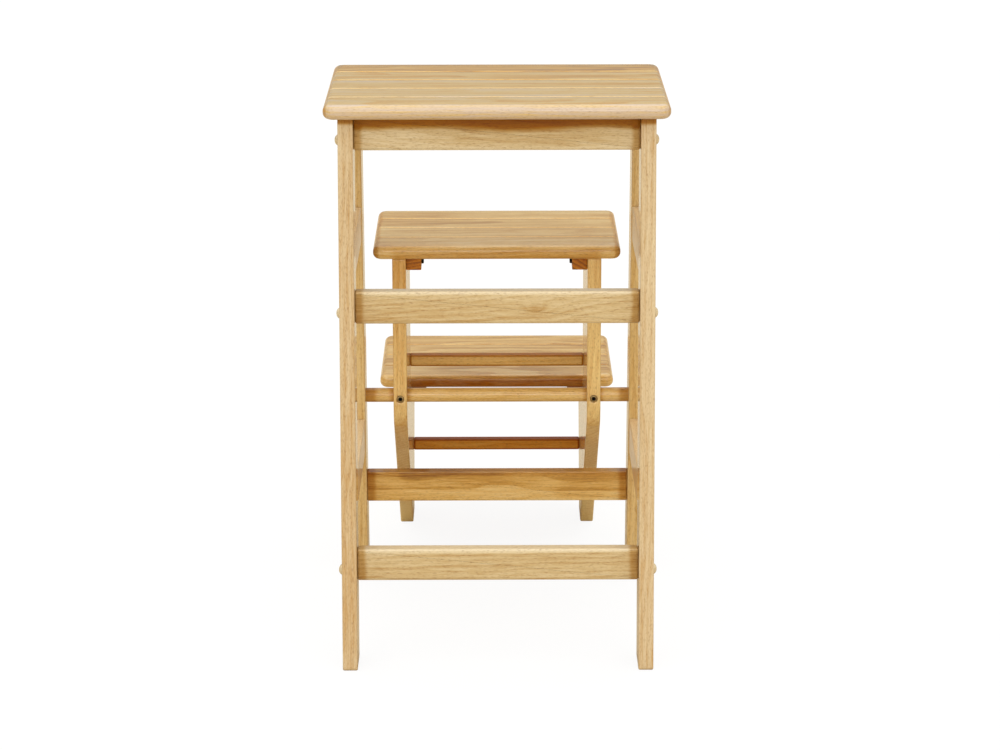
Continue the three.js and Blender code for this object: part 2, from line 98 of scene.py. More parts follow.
def linear(red: float, green: float, blue: float) -> Colour:
    """Turns a colour as seen on a screen, 0 to 255, into the renderer's own numbers.

    Args:
        red: red share.
        green: green share.
        blue: blue share.

    Returns:
        The colour with full cover.
    """
    shares = np.array([red, green, blue]) / 255
    bent = np.where(shares > 0.04045, ((shares + 0.055) / 1.055) ** 2.4, shares / 12.92)
    return (*(float(v) for v in bent), 1.0)


@dataclass(frozen=True)
class Pattern:
    """A soft random pattern: its spots in a metre along and across, and its finer detail."""

    along: float
    across: float
    detail: float


class Value:
    """A number socket that takes part in plain arithmetic by adding Math nodes."""

    def __init__(self, maker: "NodeMaker", socket: bpy.types.NodeSocket) -> None:
        """Keeps the maker and the socket."""
        self.maker = maker
        self.socket = socket

    def _math(self, operation: str, first: Any, second: Any = 0.0) -> "Value":
        """One Math node on one or two values."""
        return self.maker.node("ShaderNodeMath", {"operation": operation}, {0: first, 1: second})

    def __add__(self, other: Any) -> "Value":
        """self + other."""
        return self._math("ADD", self, other)

    def __radd__(self, other: Any) -> "Value":
        """other + self."""
        return self._math("ADD", other, self)

    def __sub__(self, other: Any) -> "Value":
        """self - other."""
        return self._math("SUBTRACT", self, other)

    def __rsub__(self, other: Any) -> "Value":
        """other - self."""
        return self._math("SUBTRACT", other, self)

    def __mul__(self, other: Any) -> "Value":
        """self * other."""
        return self._math("MULTIPLY", self, other)

    def __rmul__(self, other: Any) -> "Value":
        """other * self."""
        return self._math("MULTIPLY", other, self)

    def __truediv__(self, other: Any) -> "Value":
        """self / other."""
        return self._math("DIVIDE", self, other)

    def __rtruediv__(self, other: Any) -> "Value":
        """other / self."""
        return self._math("DIVIDE", other, self)

    def __pow__(self, other: Any) -> "Value":
        """self to the power other."""
        return self._math("POWER", self, other)

    def floor(self) -> "Value":
        """The whole number below."""
        return self._math("FLOOR", self)

    def fraction(self) -> "Value":
        """The part after the point."""
        return self._math("FRACT", self)

    def size(self) -> "Value":
        """The value without its sign."""
        return self._math("ABSOLUTE", self)

    def root(self) -> "Value":
        """The square root."""
        return self._math("SQRT", self)

    def between(self, low: float, high: float) -> "Value":
        """Climbs smoothly from 0 at low to 1 at high."""
        return self.maker.node(
            "ShaderNodeMapRange",
            {"interpolation_type": "SMOOTHSTEP"},
            {"Value": self, "From Min": low, "From Max": high, "To Min": 0.0, "To Max": 1.0},
        )


class NodeMaker:
    """Builds the node tree of one material or world."""

    def __init__(self, owner: bpy.types.Material | bpy.types.World) -> None:
        """Starts with an empty tree.

        Args:
            owner: the material or world.
        """
        owner.use_nodes = True
        self.owner = owner
        self.tree = owner.node_tree
        self.tree.nodes.clear()

    def node(
        self,
        kind: str,
        settings: dict[str, Any] | None = None,
        inputs: dict[Any, Any] | None = None,
        output: Any = 0,
    ) -> Value:
        """Adds a node.

        Args:
            kind: the node's type.
            settings: what is set on the node itself. A ramp's stops go under "stops", and what
                lies between them under "between_stops".
            inputs: a value or a link for each named or numbered socket.
            output: the name or number of the socket that is wanted.

        Returns:
            That output socket.
        """
        made = self.tree.nodes.new(kind)
        for key, value in (settings or {}).items():
            if key == "stops":
                self._stops(made.color_ramp, value)
            elif key == "between_stops":
                made.color_ramp.interpolation = value
            else:
                setattr(made, key, value)
        for key, value in (inputs or {}).items():
            target = made.inputs[key]
            if isinstance(value, Value):
                self.tree.links.new(value.socket, target)
            else:
                target.default_value = value
        return Value(self, None if output is None else made.outputs[output])

    @staticmethod
    def _stops(ramp: bpy.types.ColorRamp, stops: Sequence[tuple[float, Colour]]) -> None:
        """Sets a ramp's stops.

        Args:
            ramp: the ramp.
            stops: a place and a colour for each.
        """
        while len(ramp.elements) < len(stops):
            ramp.elements.new(1.0)
        for element, (place, colour) in zip(ramp.elements, stops):
            element.position = place
            element.color = colour

    def ramp(
        self, share: Value, stops: Sequence[tuple[float, Colour]], between: str = "LINEAR"
    ) -> Value:
        """The colour at a share, between stops that are each a place and a colour."""
        return self.node("ShaderNodeValToRGB", {"stops": stops, "between_stops": between}, {"Fac": share})

    def split(self, vector: Value) -> tuple[Value, ...]:
        """The three numbers of a vector or colour."""
        parts = self.node("ShaderNodeSeparateXYZ", {}, {0: vector}).socket.node.outputs
        return tuple(Value(self, part) for part in parts)

    def place(self, kind: str = "Object") -> tuple[Value, ...]:
        """The three numbers of a texture coordinate."""
        return self.split(self.node("ShaderNodeTexCoord", output=kind))

    def mix(self, share: Any, first: Any, second: Any, blend: str = "MIX") -> Value:
        """Two colours mixed by a share, the second laid on or multiplied."""
        inputs = {0: share, 6: first, 7: second}
        return self.node("ShaderNodeMix", {"data_type": "RGBA", "blend_type": blend}, inputs, output=2)

    def mix_shaders(self, share: Value, first: Value, second: Value) -> Value:
        """Two shaders mixed by a share of the second."""
        return self.node("ShaderNodeMixShader", {}, {0: share, 1: first, 2: second})

    def noise(self, place: Sequence[Value], pattern: Pattern) -> Value:
        """A soft random value from 0 to 1.

        Args:
            place: where, along, across and through the piece.
            pattern: how coarse it is each way.

        Returns:
            The value.
        """
        scales = (pattern.along, pattern.across, pattern.across)
        parts = {number: axis * scale for number, (axis, scale) in enumerate(zip(place, scales))}
        vector = self.node("ShaderNodeCombineXYZ", {}, parts)
        return self.node("ShaderNodeTexNoise", {}, {"Vector": vector, "Scale": 1.0, "Detail": pattern.detail})

    def chance(self, number: Value, output: str = "Value") -> Value:
        """A random value or colour for each number."""
        return self.node("ShaderNodeTexWhiteNoise", {"noise_dimensions": "1D"}, {"W": number}, output)

    def edge(self) -> Value:
        """How far a point is on an edge."""
        return self.node("ShaderNodeAttribute", {"attribute_name": EDGE}, {}, "Fac")

    def bump(self, height: Value, strength: float, distance: float) -> Value:
        """A normal that follows a height."""
        inputs = {"Height": height, "Strength": strength, "Distance": distance}
        return self.node("ShaderNodeBump", {}, inputs, "Normal")

    def path(self, kind: str) -> Value:
        """1 for the wanted kind of ray, else 0."""
        return self.node("ShaderNodeLightPath", output=kind)

    def finish(self, shader: Value, output: str = "ShaderNodeOutputMaterial") -> Any:
        """Joins the shader to an output node and returns the tree's owner."""
        self.node(output, {}, {"Surface": shader}, output=None)
        return self.owner


@dataclass(frozen=True)
class Knot:
    """A small knot that the growth lines bend round.

    Attributes:
        along: its middle along the piece.
        across: its middle across the piece.
        reach_along: its reach along.
        reach_across: its reach across.
        push: how far it pushes the growth lines.
        tone: how dark it is.
        sharpness: how fast the dark fades round it.
    """

    along: float
    across: float
    reach_along: float
    reach_across: float
    push: float
    tone: float = 0.25
    sharpness: float = 4.0


@dataclass(frozen=True)
class Patch:
    """A broad area of another tone: its middle and reach along and across, and how dark it is."""

    along: float
    across: float
    reach_along: float
    reach_across: float
    tone: float

    def moved(self, along: float, across: float) -> "Patch":
        """The same patch, further along and across."""
        return replace(self, along=self.along + along, across=self.across + across)


@dataclass(frozen=True)
class ShadeBand:
    """A darker amber band along a line: its axis, place, reach to each side and strength.

    Most such bands are painted shade, where parts meet, under overhangs and beside other parts;
    along the seat's ends and far edge they only darken its rim. With a half length, it ends that far
    from the middle of the stool, sideways. With an edge, it keeps to a line from side to side: the
    edge is that line's place from front to back.
    """

    axis: int
    place: float
    reach: float
    amount: float
    half_length: float = 0.0
    edge: float | None = None


@dataclass(frozen=True)
class Strips:
    """Strips that a board is glued from, each from another part of the tree.

    Attributes:
        first: first edge of the first strip, across the board.
        width: width of a strip.
        tones: tone of each strip in turn, around a half.
        shift: how far the strips' patterns are moved along, at most.
        heart_widths: over how many widths the heart of the tree can lie.
        heart_depth: how deep it lies, at most.
        heart_least: how deep it lies, at least.
    """

    first: float
    width: float
    tones: tuple[float, ...]
    shift: float = 2.3
    heart_widths: float = 2.0
    heart_depth: float = -0.12
    heart_least: float = 0.01


@dataclass(frozen=True)
class Figure:
    """How one piece was cut from the tree.

    Attributes:
        grain: which way the fibres run.
        seed: moves the pattern, so that no two pieces are alike.
        slope: sideways run of the fibres for each unit along them, for a leaning piece.
        pith: where the heart of the tree lay, across and through.
        tilt: how far the heart moves away across for each unit along the piece.
        bold: strength of the growth lines.
        streaky: strength of the fine streaks along the fibres.
        fineness: how many of those streaks lie in a metre.
        tone: lightness of the whole piece, above 0 for a darker one.
        fade: how much darker it gets for each metre across.
        middle: where across the piece the fade changes nothing.
        strips: the strips that it is glued from, where it has them.
        knot: a knot, where it has one.
        patches: broad areas of another tone.
        painted_shade: bands of painted shade, darker towards amber.
    """

    grain: Grain
    seed: float
    slope: float = 0.0
    pith: tuple[float, float] = (0.0, -0.09)
    tilt: float = 0.03
    bold: float = 0.13
    streaky: float = 0.42
    fineness: float = 420.0
    tone: float = 0.0
    fade: float = 0.0
    middle: float = 0.0
    strips: Strips | None = None
    knot: Knot | None = None
    patches: tuple[Patch, ...] = ()
    painted_shade: tuple[ShadeBand, ...] = ()


@dataclass(frozen=True)
class VarnishedWood:
    """Pale hardwood, varnished to a clear gloss: growth lines, fibres, pores and end grain.

    Attributes:
        light, middle, golden, deep: the wood's colours, from the palest to the darkest.
        stops: the tones that wear those four colours.
        pore, pore_share: colour of the pores and how much of it shows.
        pore_range, late_pores: which flecks are pores, and how much they keep to the late wood.
        amber: what painted shade multiplies the colour by, twice.
        wear_and_glint_share, wear_and_glint_range: how pale eased edges and grooves are, partly as wear
        and partly as painted highlight, and how patchy.
        end_share, end_range: how golden end grain is, and the turn at which it starts.
        full_shade_share: share of a painted shade band's reach that is at full strength.
        drift_share, end_fade: how far such a line wanders, and how long its ends are.
        ring_pitch: width of a year's ring.
        late_climb, late_fall: where in a ring the late wood darkens, and where it ends.
        year_spread, year_least: how unlike the years are, and how dark the palest one is.
        wander_reach, ripple_reach: how far the rings stray, broadly and finely.
        stain_share, fibre_share, mean_line: how broad stains, fibres and lines change the tone.
        streak_length, streak_detail: how many times longer than wide the streaks are, and their
            finer detail.
        relief: height of fibres, of pores (down) and of the waves in the varnished coat.
        relief_strength, relief_depth: how strongly and how deep they show.
        roughness, rougher: roughness of the wood, and what fibres and the paler edges add.
        coat, coat_lost: the clear coat's weight; what pores, paler edges and painted shade take off.
        drift to sheen: the random patterns of all these.
    """

    light: Colour = linear(224, 206, 170)
    middle: Colour = linear(205, 180, 134)
    golden: Colour = linear(182, 144, 86)
    deep: Colour = linear(134, 88, 38)
    stops: tuple[float, float, float, float] = (0.05, 0.40, 0.68, 1.0)
    pore: Colour = linear(134, 88, 40)
    pore_share: float = 0.44
    pore_range: Span = (0.5, 0.72)
    late_pores: float = 0.4
    amber: Colour = linear(219, 183, 50)
    wear_and_glint_share: float = 0.2
    wear_and_glint_range: Span = (0.35, 0.65)
    end_share: float = 0.4
    end_range: Span = (0.75, 0.98)
    full_shade_share: float = 0.5
    drift_share: float = 0.6
    end_fade: float = 0.012
    ring_pitch: float = 0.0052
    late_climb: Span = (0.15, 0.86)
    late_fall: Span = (0.9, 1.0)
    year_spread: float = 0.9
    year_least: float = 0.3
    wander_reach: float = 0.03
    ripple_reach: float = 0.0016
    stain_share: float = 0.7
    fibre_share: float = 0.55
    mean_line: float = 0.35
    streak_length: float = 42.0
    streak_detail: float = 3.0
    relief: tuple[float, float, float] = (0.5, 0.5, 0.9)
    relief_strength: float = 0.2
    relief_depth: float = 0.0004
    roughness: float = 0.42
    rougher: Span = (0.15, 0.08)
    specular: float = 0.2
    coat: float = 0.92
    coat_lost: tuple[float, float, float] = (0.25, 0.15, 0.75)
    coat_roughness: float = 0.09
    coat_index: float = 1.5
    drift: Pattern = Pattern(9.0, 22.0, 3.0)
    wander: Pattern = Pattern(3.5, 14.0, 2.0)
    ripple: Pattern = Pattern(28.0, 60.0, 1.0)
    stain: Pattern = Pattern(2.2, 24.0, 3.0)
    fibres: Pattern = Pattern(45.0, 900.0, 2.0)
    flecks: Pattern = Pattern(230.0, 1150.0, 1.0)
    wear: Pattern = Pattern(30.0, 90.0, 2.0)
    sheen: Pattern = Pattern(14.0, 70.0, 1.0)
    seed_shift: tuple[float, float, float] = (0.37, 0.07, 0.11)
    drift_shift: float = 0.13

    def painted_bands(self, maker: NodeMaker, axes: Sequence[Value], figure: Figure) -> Any:
        """Works out how dark the bands of painted shade are.

        Args:
            maker: the material's maker.
            axes: the place on the piece.
            figure: how the piece was cut.

        Returns:
            0 where no shade is painted, and about 1 in the darkest painted shade.
        """
        total: Any = 0.0
        if not figure.painted_shade:
            return total
        drift = maker.noise([axis + figure.seed * self.drift_shift for axis in axes], self.drift) - 0.5
        for line in figure.painted_shade:
            off = (axes[line.axis] - line.place).size()
            if line.edge is not None:
                back = axes[1] - line.edge
                off = (off * off + back * back).root()
            off = off + drift * (line.reach * self.drift_share)
            band_shade = (1.0 - off.between(line.reach * self.full_shade_share, line.reach)) * line.amount
            if line.half_length:
                ends = axes[0].size().between(line.half_length - self.end_fade, line.half_length)
                band_shade = band_shade * (1.0 - ends)
            total = band_shade + total
        return total

    def material(self, name: str, figure: Figure) -> bpy.types.Material:
        """Builds the finish for one piece.

        The growth lines are rings round the heart of the tree: the distance from it over the
        ring's pitch gives each year's number, and the part after the point the place in its ring.

        Args:
            name: the material's name.
            figure: how the piece was cut.

        Returns:
            The material.
        """
        maker = NodeMaker(bpy.data.materials.new(name))
        axes = maker.place()
        along, across, through = (axes[i] for i in figure.grain.value)
        if figure.slope:
            across = across - along * figure.slope
        tone: Any = self.stops[1] + figure.tone
        if figure.fade:
            tone = tone + (across - figure.middle) * figure.fade
        heart_across: Any = figure.pith[0]
        heart_through: Any = figure.pith[1]
        for patch in figure.patches:
            off_along = (along - patch.along) / patch.reach_along
            off_across = (across - patch.across) / patch.reach_across
            away = off_along * off_along + off_across * off_across
            tone = tone + (1.0 - away.between(0.0, 1.0)) * patch.tone
        # Painted shade: darker amber bands along lines.
        painted_shade = self.painted_bands(maker, axes, figure)
        if figure.strips:
            strips = figure.strips
            number = ((across - strips.first) / strips.width).floor()
            chance = maker.split(maker.chance(number + figure.seed, "Color"))
            share = 1.0 / len(strips.tones)
            stops = [(place * share, (one, one, one, 1.0)) for place, one in enumerate(strips.tones)]
            tone = tone + maker.ramp((number + 0.5) * share, stops, "CONSTANT") - 0.5
            along = along + chance[0] * strips.shift
            heart = number + chance[1] * strips.heart_widths - 0.5
            heart_across = heart * strips.width + strips.first
            heart_through = chance[2] * strips.heart_depth - strips.heart_least
        place = zip((along, across, through), self.seed_shift)
        moved = [axis + figure.seed * shift for axis, shift in place]

        wander = maker.noise(moved, self.wander) - 0.5
        ripple = maker.noise(moved, self.ripple) - 0.5
        side = across - heart_across - along * figure.tilt
        radius = (side * side + (through - heart_through) ** 2.0).root()
        radius = radius + wander * self.wander_reach + ripple * self.ripple_reach
        if figure.knot:
            knot = figure.knot
            near_along = (along - knot.along) / knot.reach_along
            near_across = (across - knot.across) / knot.reach_across
            nearness = 1.0 / (near_along * near_along + near_across * near_across + 1.0)
            radius = radius + nearness * knot.push
            tone = tone + (nearness**knot.sharpness) * knot.tone
        turn = radius / self.ring_pitch
        phase = turn.fraction()
        year = maker.chance(turn.floor())
        late = phase.between(*self.late_climb) * (1.0 - phase.between(*self.late_fall))
        lines = late * (year * self.year_spread + self.year_least)
        stain = maker.noise(moved, self.stain) - 0.5
        fine = figure.fineness
        streaks = maker.noise(moved, Pattern(fine / self.streak_length, fine, self.streak_detail)) - 0.5
        fibres = maker.noise(moved, self.fibres) - 0.5
        flecks = maker.noise(moved, self.flecks)
        pores = flecks.between(*self.pore_range) * (late * self.late_pores + (1.0 - self.late_pores))

        tone = tone + stain * self.stain_share + streaks * figure.streaky + fibres * self.fibre_share
        tone = tone + (lines - self.mean_line) * figure.bold
        colour = maker.ramp(tone, list(zip(self.stops, (self.light, self.middle, self.golden, self.deep))))
        colour = maker.mix(pores * self.pore_share, colour, self.pore)
        turned = maker.place("Normal")[figure.grain.value[0]]
        end_grain = turned.size().between(*self.end_range)
        colour = maker.mix(end_grain * self.end_share, colour, self.golden)
        # Painted shade: the colour is multiplied towards amber, twice.
        for _ in range(2 if figure.painted_shade else 0):
            colour = maker.mix(painted_shade, colour, self.amber, "MULTIPLY")
        # Paler eased edges and grooves: partly wear, partly painted highlight where a wood pales them
        # strongly.
        wear_and_glint = maker.edge() * maker.noise(moved, self.wear).between(*self.wear_and_glint_range)
        colour = maker.mix(wear_and_glint * self.wear_and_glint_share, colour, self.light)

        fibre_height, pore_depth, wave_height = self.relief
        waves = maker.noise(moved, self.sheen) * wave_height
        relief = fibres * fibre_height - pores * pore_depth + waves
        fibre_rough, wear_and_glint_rough = self.rougher
        lost_pores, lost_to_wear_and_glint, lost_to_shade = self.coat_lost
        shader = maker.node(
            "ShaderNodeBsdfPrincipled",
            {},
            {
                "Base Color": colour,
                "Roughness": self.roughness + fibres * fibre_rough + wear_and_glint * wear_and_glint_rough,
                "Specular IOR Level": self.specular,
                "Normal": maker.bump(relief, self.relief_strength, self.relief_depth),
                # Painted shade also takes most of the clear coat off.
                "Coat Weight": self.coat - pores * lost_pores - wear_and_glint * lost_to_wear_and_glint - painted_shade * lost_to_shade,
                "Coat Roughness": self.coat_roughness,
                "Coat IOR": self.coat_index,
            },
        )
        return maker.finish(shader)


@dataclass(frozen=True)
class DarkenedSteel:
    """Screw steel with a dark finish that is rubbed brighter on its high places.

    Attributes:
        dark, rubbed, socket_shade: its colour, that of rubbed places, and the painted shade in the socket.
        blot_range, blot_share: which blots are rubbed, and how much.
        scuff_range, scuff_share: the same for fine scuffs.
        metallic: how metallic it is.
        roughness, rougher: its roughness, and what the blots add.
        relief_strength, relief_depth: how strongly and how deep the scuffs show.
        blots, scuffs: their random patterns.
    """

    dark: Colour
    rubbed: Colour
    socket_shade: Colour = linear(12, 10, 8)
    blot_range: Span = (0.35, 0.75)
    blot_share: float = 0.6
    scuff_range: Span = (0.5, 0.8)
    scuff_share: float = 0.25
    metallic: float = 0.85
    roughness: float = 0.34
    rougher: float = 0.18
    relief_strength: float = 0.15
    relief_depth: float = 0.0001
    blots: Pattern = Pattern(900.0, 900.0, 3.0)
    scuffs: Pattern = Pattern(2600.0, 2600.0, 2.0)

    def material(self, name: str) -> bpy.types.Material:
        """Builds the finish.

        Args:
            name: the material's name.

        Returns:
            The material.
        """
        maker = NodeMaker(bpy.data.materials.new(name))
        place = maker.place()
        blots = maker.noise(place, self.blots)
        scuffs = maker.noise(place, self.scuffs).between(*self.scuff_range)
        rubbed = blots.between(*self.blot_range) * self.blot_share + scuffs * self.scuff_share
        # Painted shade: the socket is coloured nearly black.
        colour = maker.mix(maker.edge(), maker.mix(rubbed, self.dark, self.rubbed), self.socket_shade)
        shader = maker.node(
            "ShaderNodeBsdfPrincipled",
            {},
            {
                "Base Color": colour,
                "Metallic": self.metallic,
                "Roughness": self.roughness + blots * self.rougher,
                "Normal": maker.bump(scuffs, self.relief_strength, self.relief_depth),
            },
        )
        return maker.finish(shader)


@dataclass(frozen=True)
class Bore:
    """A round hole into one narrow side of a board: where its mouth is, how wide and how deep."""

    mouth: tuple[float, float, float]
    radius: float
    depth: float


@dataclass
class Surface:
    """A closed skin: points, faces, and how far each point is on an edge."""

    points: np.ndarray
    faces: list[Sequence[int]]
    edge: np.ndarray

    def bored(self, cell: int, bore: Bore, sides: int = 32) -> None:
        """Cuts a round hole into one four-cornered face.

        The face gives way to triangles between its corners and a circle: each quarter of the
        circle joins the corner in its own quarter, and one triangle joins each two corners. The
        wall is rings of the circle going in, and the floor closes in one point.

        Args:
            cell: number of the face.
            bore: the hole.
            sides: points round it, a multiple of four.
        """
        corners = list(self.faces[cell])
        first, second, _, last = (self.points[i] for i in corners)
        right = (second - first) / np.linalg.norm(second - first)
        normal = np.cross(right, last - first)
        normal /= np.linalg.norm(normal)
        middle = np.array(bore.mouth, float)
        middle += normal * ((first - middle) @ normal)
        circle = circle_of(sides, right, np.cross(normal, right))
        steps = [(bore.radius + LIP, 0.0), (bore.radius, LIP), (bore.radius, bore.depth)]
        rings = [middle + circle * radius - normal * depth for radius, depth in steps]
        count = len(steps) * sides
        number = len(self.points) + np.arange(count).reshape(-1, sides)
        pole = np.full(sides, len(self.points) + count)
        self.points = np.concatenate([self.points, *rings, [middle - normal * bore.depth]])
        self.edge = np.concatenate([self.edge, np.zeros(count + 1)])
        following = np.roll(number, -1, axis=1)
        quarter = sides // 4
        order = np.roll(corners, -2)
        owner = order[np.arange(sides) // quarter]
        fan = np.stack([number[0], owner, following[0]], -1)
        joins = np.stack([order, np.roll(order, -1), number[0][(np.arange(4) + 1) * quarter % sides]], -1)
        floor = np.stack([number[-1], following[-1], pole], -1)
        self.faces[cell] = joins[0].tolist()
        self.faces += [*joins[1:].tolist(), *fan.tolist(), *between_rings(number), *floor.tolist()]


def circle_of(sides: int, right: np.ndarray, up: np.ndarray) -> np.ndarray:
    """Points of a circle with a radius of 1, from the right towards up.

    Args:
        sides: how many points.
        right: unit direction of the first point.
        up: unit direction of the point a quarter further.

    Returns:
        One row for each point.
    """
    angle = np.linspace(0, 2 * np.pi, sides, endpoint=False)[:, None]
    return np.cos(angle) * right + np.sin(angle) * up


def between_rings(number: np.ndarray) -> list[list[int]]:
    """Four-cornered faces between closed rings of points.

    Args:
        number: numbers of the points, one row for each ring.

    Returns:
        The faces.
    """
    following = np.roll(number, -1, axis=1)
    return np.stack([number[:-1], following[:-1], following[1:], number[1:]], -1).reshape(-1, 4).tolist()


def rectangle(low: Sequence[float], high: Sequence[float]) -> np.ndarray:
    """Corners of a rectangle.

    Args:
        low: its lowest corner.
        high: its highest corner.

    Returns:
        The four corners, anticlockwise from the lowest, one row each.
    """
    return np.array([[low[0], low[1]], [high[0], low[1]], [high[0], high[1]], [low[0], high[1]]])


def outline(corners: np.ndarray, radii: Any, steps: int = 6) -> tuple[np.ndarray, np.ndarray]:
    """Rounds the corners of a closed line.

    Each corner gives way to an arc that touches both its sides. The arc's centre lies on the
    corner's bisector, at the radius over the sine of half the corner's angle, and the arc turns
    from one side's normal to the other's. A point just before and just after each arc keeps the
    straight sides flat to the eye.

    Args:
        corners: the corners, anticlockwise, one row each.
        radii: the radius at each corner, or one radius for all.
        steps: arc steps.

    Returns:
        The points in order, and 1 for those in the middle of an arc down to 0 beside it.
    """
    radius = np.broadcast_to(np.asarray(radii, float), len(corners))
    before = np.roll(corners, 1, axis=0) - corners
    after = np.roll(corners, -1, axis=0) - corners
    before /= np.linalg.norm(before, axis=1, keepdims=True)
    after /= np.linalg.norm(after, axis=1, keepdims=True)
    half = np.arccos(np.clip((before * after).sum(1), -1, 1)) / 2
    cut = radius / np.tan(half)
    bisector = before + after
    bisector /= np.linalg.norm(bisector, axis=1, keepdims=True)
    centre = corners + bisector * (radius / np.sin(half))[:, None]
    start = corners + before * cut[:, None] - centre
    end = corners + after * cut[:, None] - centre
    first = np.arctan2(start[:, 1], start[:, 0])
    turn = np.arctan2(end[:, 1], end[:, 0]) - first
    turn = (turn + np.pi) % (2 * np.pi) - np.pi
    share = np.linspace(0, 1, steps + 1)
    angle = first[:, None] + turn[:, None] * share[None, :]
    arc = centre[:, None, :] + radius[:, None, None] * np.stack([np.cos(angle), np.sin(angle)], -1)
    lead_in = corners + before * (cut + CORNER_LEAD)[:, None]
    lead_out = corners + after * (cut + CORNER_LEAD)[:, None]
    points = np.concatenate([lead_in[:, None], arc, lead_out[:, None]], axis=1)
    marks = np.concatenate([np.zeros(1), np.sin(np.pi * share) ** 0.5, np.zeros(1)])
    return points.reshape(-1, 2), np.tile(marks, len(corners))


def parted(
    line: np.ndarray, marks: np.ndarray, place: np.ndarray, half: float
) -> tuple[np.ndarray, np.ndarray]:
    """Adds a point to the line on both sides of a place that lies on it.

    Args:
        line: the points of the closed line.
        marks: their marks.
        place: the place.
        half: how far the new points lie from the place.

    Returns:
        The new line and marks.
    """
    side = np.roll(line, -1, axis=0) - line
    length = np.linalg.norm(side, axis=1)
    share = np.clip(((place - line) * side).sum(1) / length**2, 0, 1)
    nearest = int(np.argmin(np.linalg.norm(line + side * share[:, None] - place, axis=1)))
    direction = side[nearest] / length[nearest]
    foot = line[nearest] + side[nearest] * share[nearest]
    added = np.stack([foot - direction * half, foot + direction * half])
    return np.insert(line, nearest + 1, added, axis=0), np.insert(marks, nearest + 1, [0.0, 0.0])


def eased_board(
    corners: np.ndarray,
    radii: Any,
    span: Sequence[float],
    ease: float,
    plane: Plane,
    bores: Sequence[Bore] = (),
    steps: int = 5,
) -> Surface:
    """A board of even thickness whose outline is eased on both faces.

    The outline is stacked in rings through the thickness. At an angle a round the easing, a ring
    is drawn in by ease times (1 - sin a) and lies ease times (1 - cos a) inside the face; one more
    ring just inside each face keeps the face flat to the eye. Drawing in moves each point along
    the sum of its two side normals, stretched so that both sides move the same way.

    Args:
        corners: the outline's corners, anticlockwise, one row each.
        radii: the radius at each corner, or one radius for all.
        span: where the board starts and ends on its thickness axis.
        ease: radius of the easing.
        plane: the plane of the outline.
        bores: holes in its narrow sides.
        steps: steps round the easing.

    Returns:
        The closed skin.
    """
    low, high = span
    line, marks = outline(corners, radii)
    places = [np.array([bore.mouth[i] for i in plane.value[:2]]) for bore in bores]
    for place, bore in zip(places, bores):
        line, marks = parted(line, marks, place, bore.radius + MOUTH_ROOM)
    side = np.roll(line, -1, axis=0) - line
    length = np.linalg.norm(side, axis=1)
    side /= length[:, None]
    normal = np.stack([side[:, 1], -side[:, 0]], -1)
    previous = np.roll(normal, 1, axis=0)
    mitre = (normal + previous) / (1 + (normal * previous).sum(1))[:, None]
    angle = np.linspace(0, np.pi / 2, steps + 1)
    lead = min(EASE_LEAD, (high - low) / 2 - ease)
    inset = np.concatenate([[ease + FACE_LEAD], ease * (1 - np.sin(angle)), [0.0]])
    depth = np.concatenate([[0.0], ease * (1 - np.cos(angle)), [ease + lead]])
    rounded = np.concatenate([[0.0], np.sin(2 * angle), [0.0]])
    insets = np.concatenate([inset, inset[::-1]])
    levels = np.concatenate([low + depth, high - depth[::-1]])
    edges = np.concatenate([rounded, rounded[::-1]])
    flat = line[None] - insets[:, None, None] * mitre[None]
    rings, count = flat.shape[:2]
    local = np.concatenate([flat, np.broadcast_to(levels[:, None, None], (rings, count, 1))], -1)
    points = np.empty((rings * count, 3))
    points[:, list(plane.value)] = local.reshape(-1, 3)
    number = np.arange(rings * count).reshape(rings, count)
    faces = [*between_rings(number), number[0, ::-1].tolist(), number[-1].tolist()]
    edge = np.maximum(edges[:, None], marks[None, :] * (insets[:, None] < ease)).ravel()
    skin = Surface(points, faces, edge)
    for place, bore in zip(places, bores):
        ahead = ((place - line) * side).sum(1)
        apart = np.abs(((place - line) * normal).sum(1))
        apart[(ahead < 0) | (ahead > length)] = np.inf
        skin.bored((rings // 2 - 1) * count + int(np.argmin(apart)), bore)
    return skin


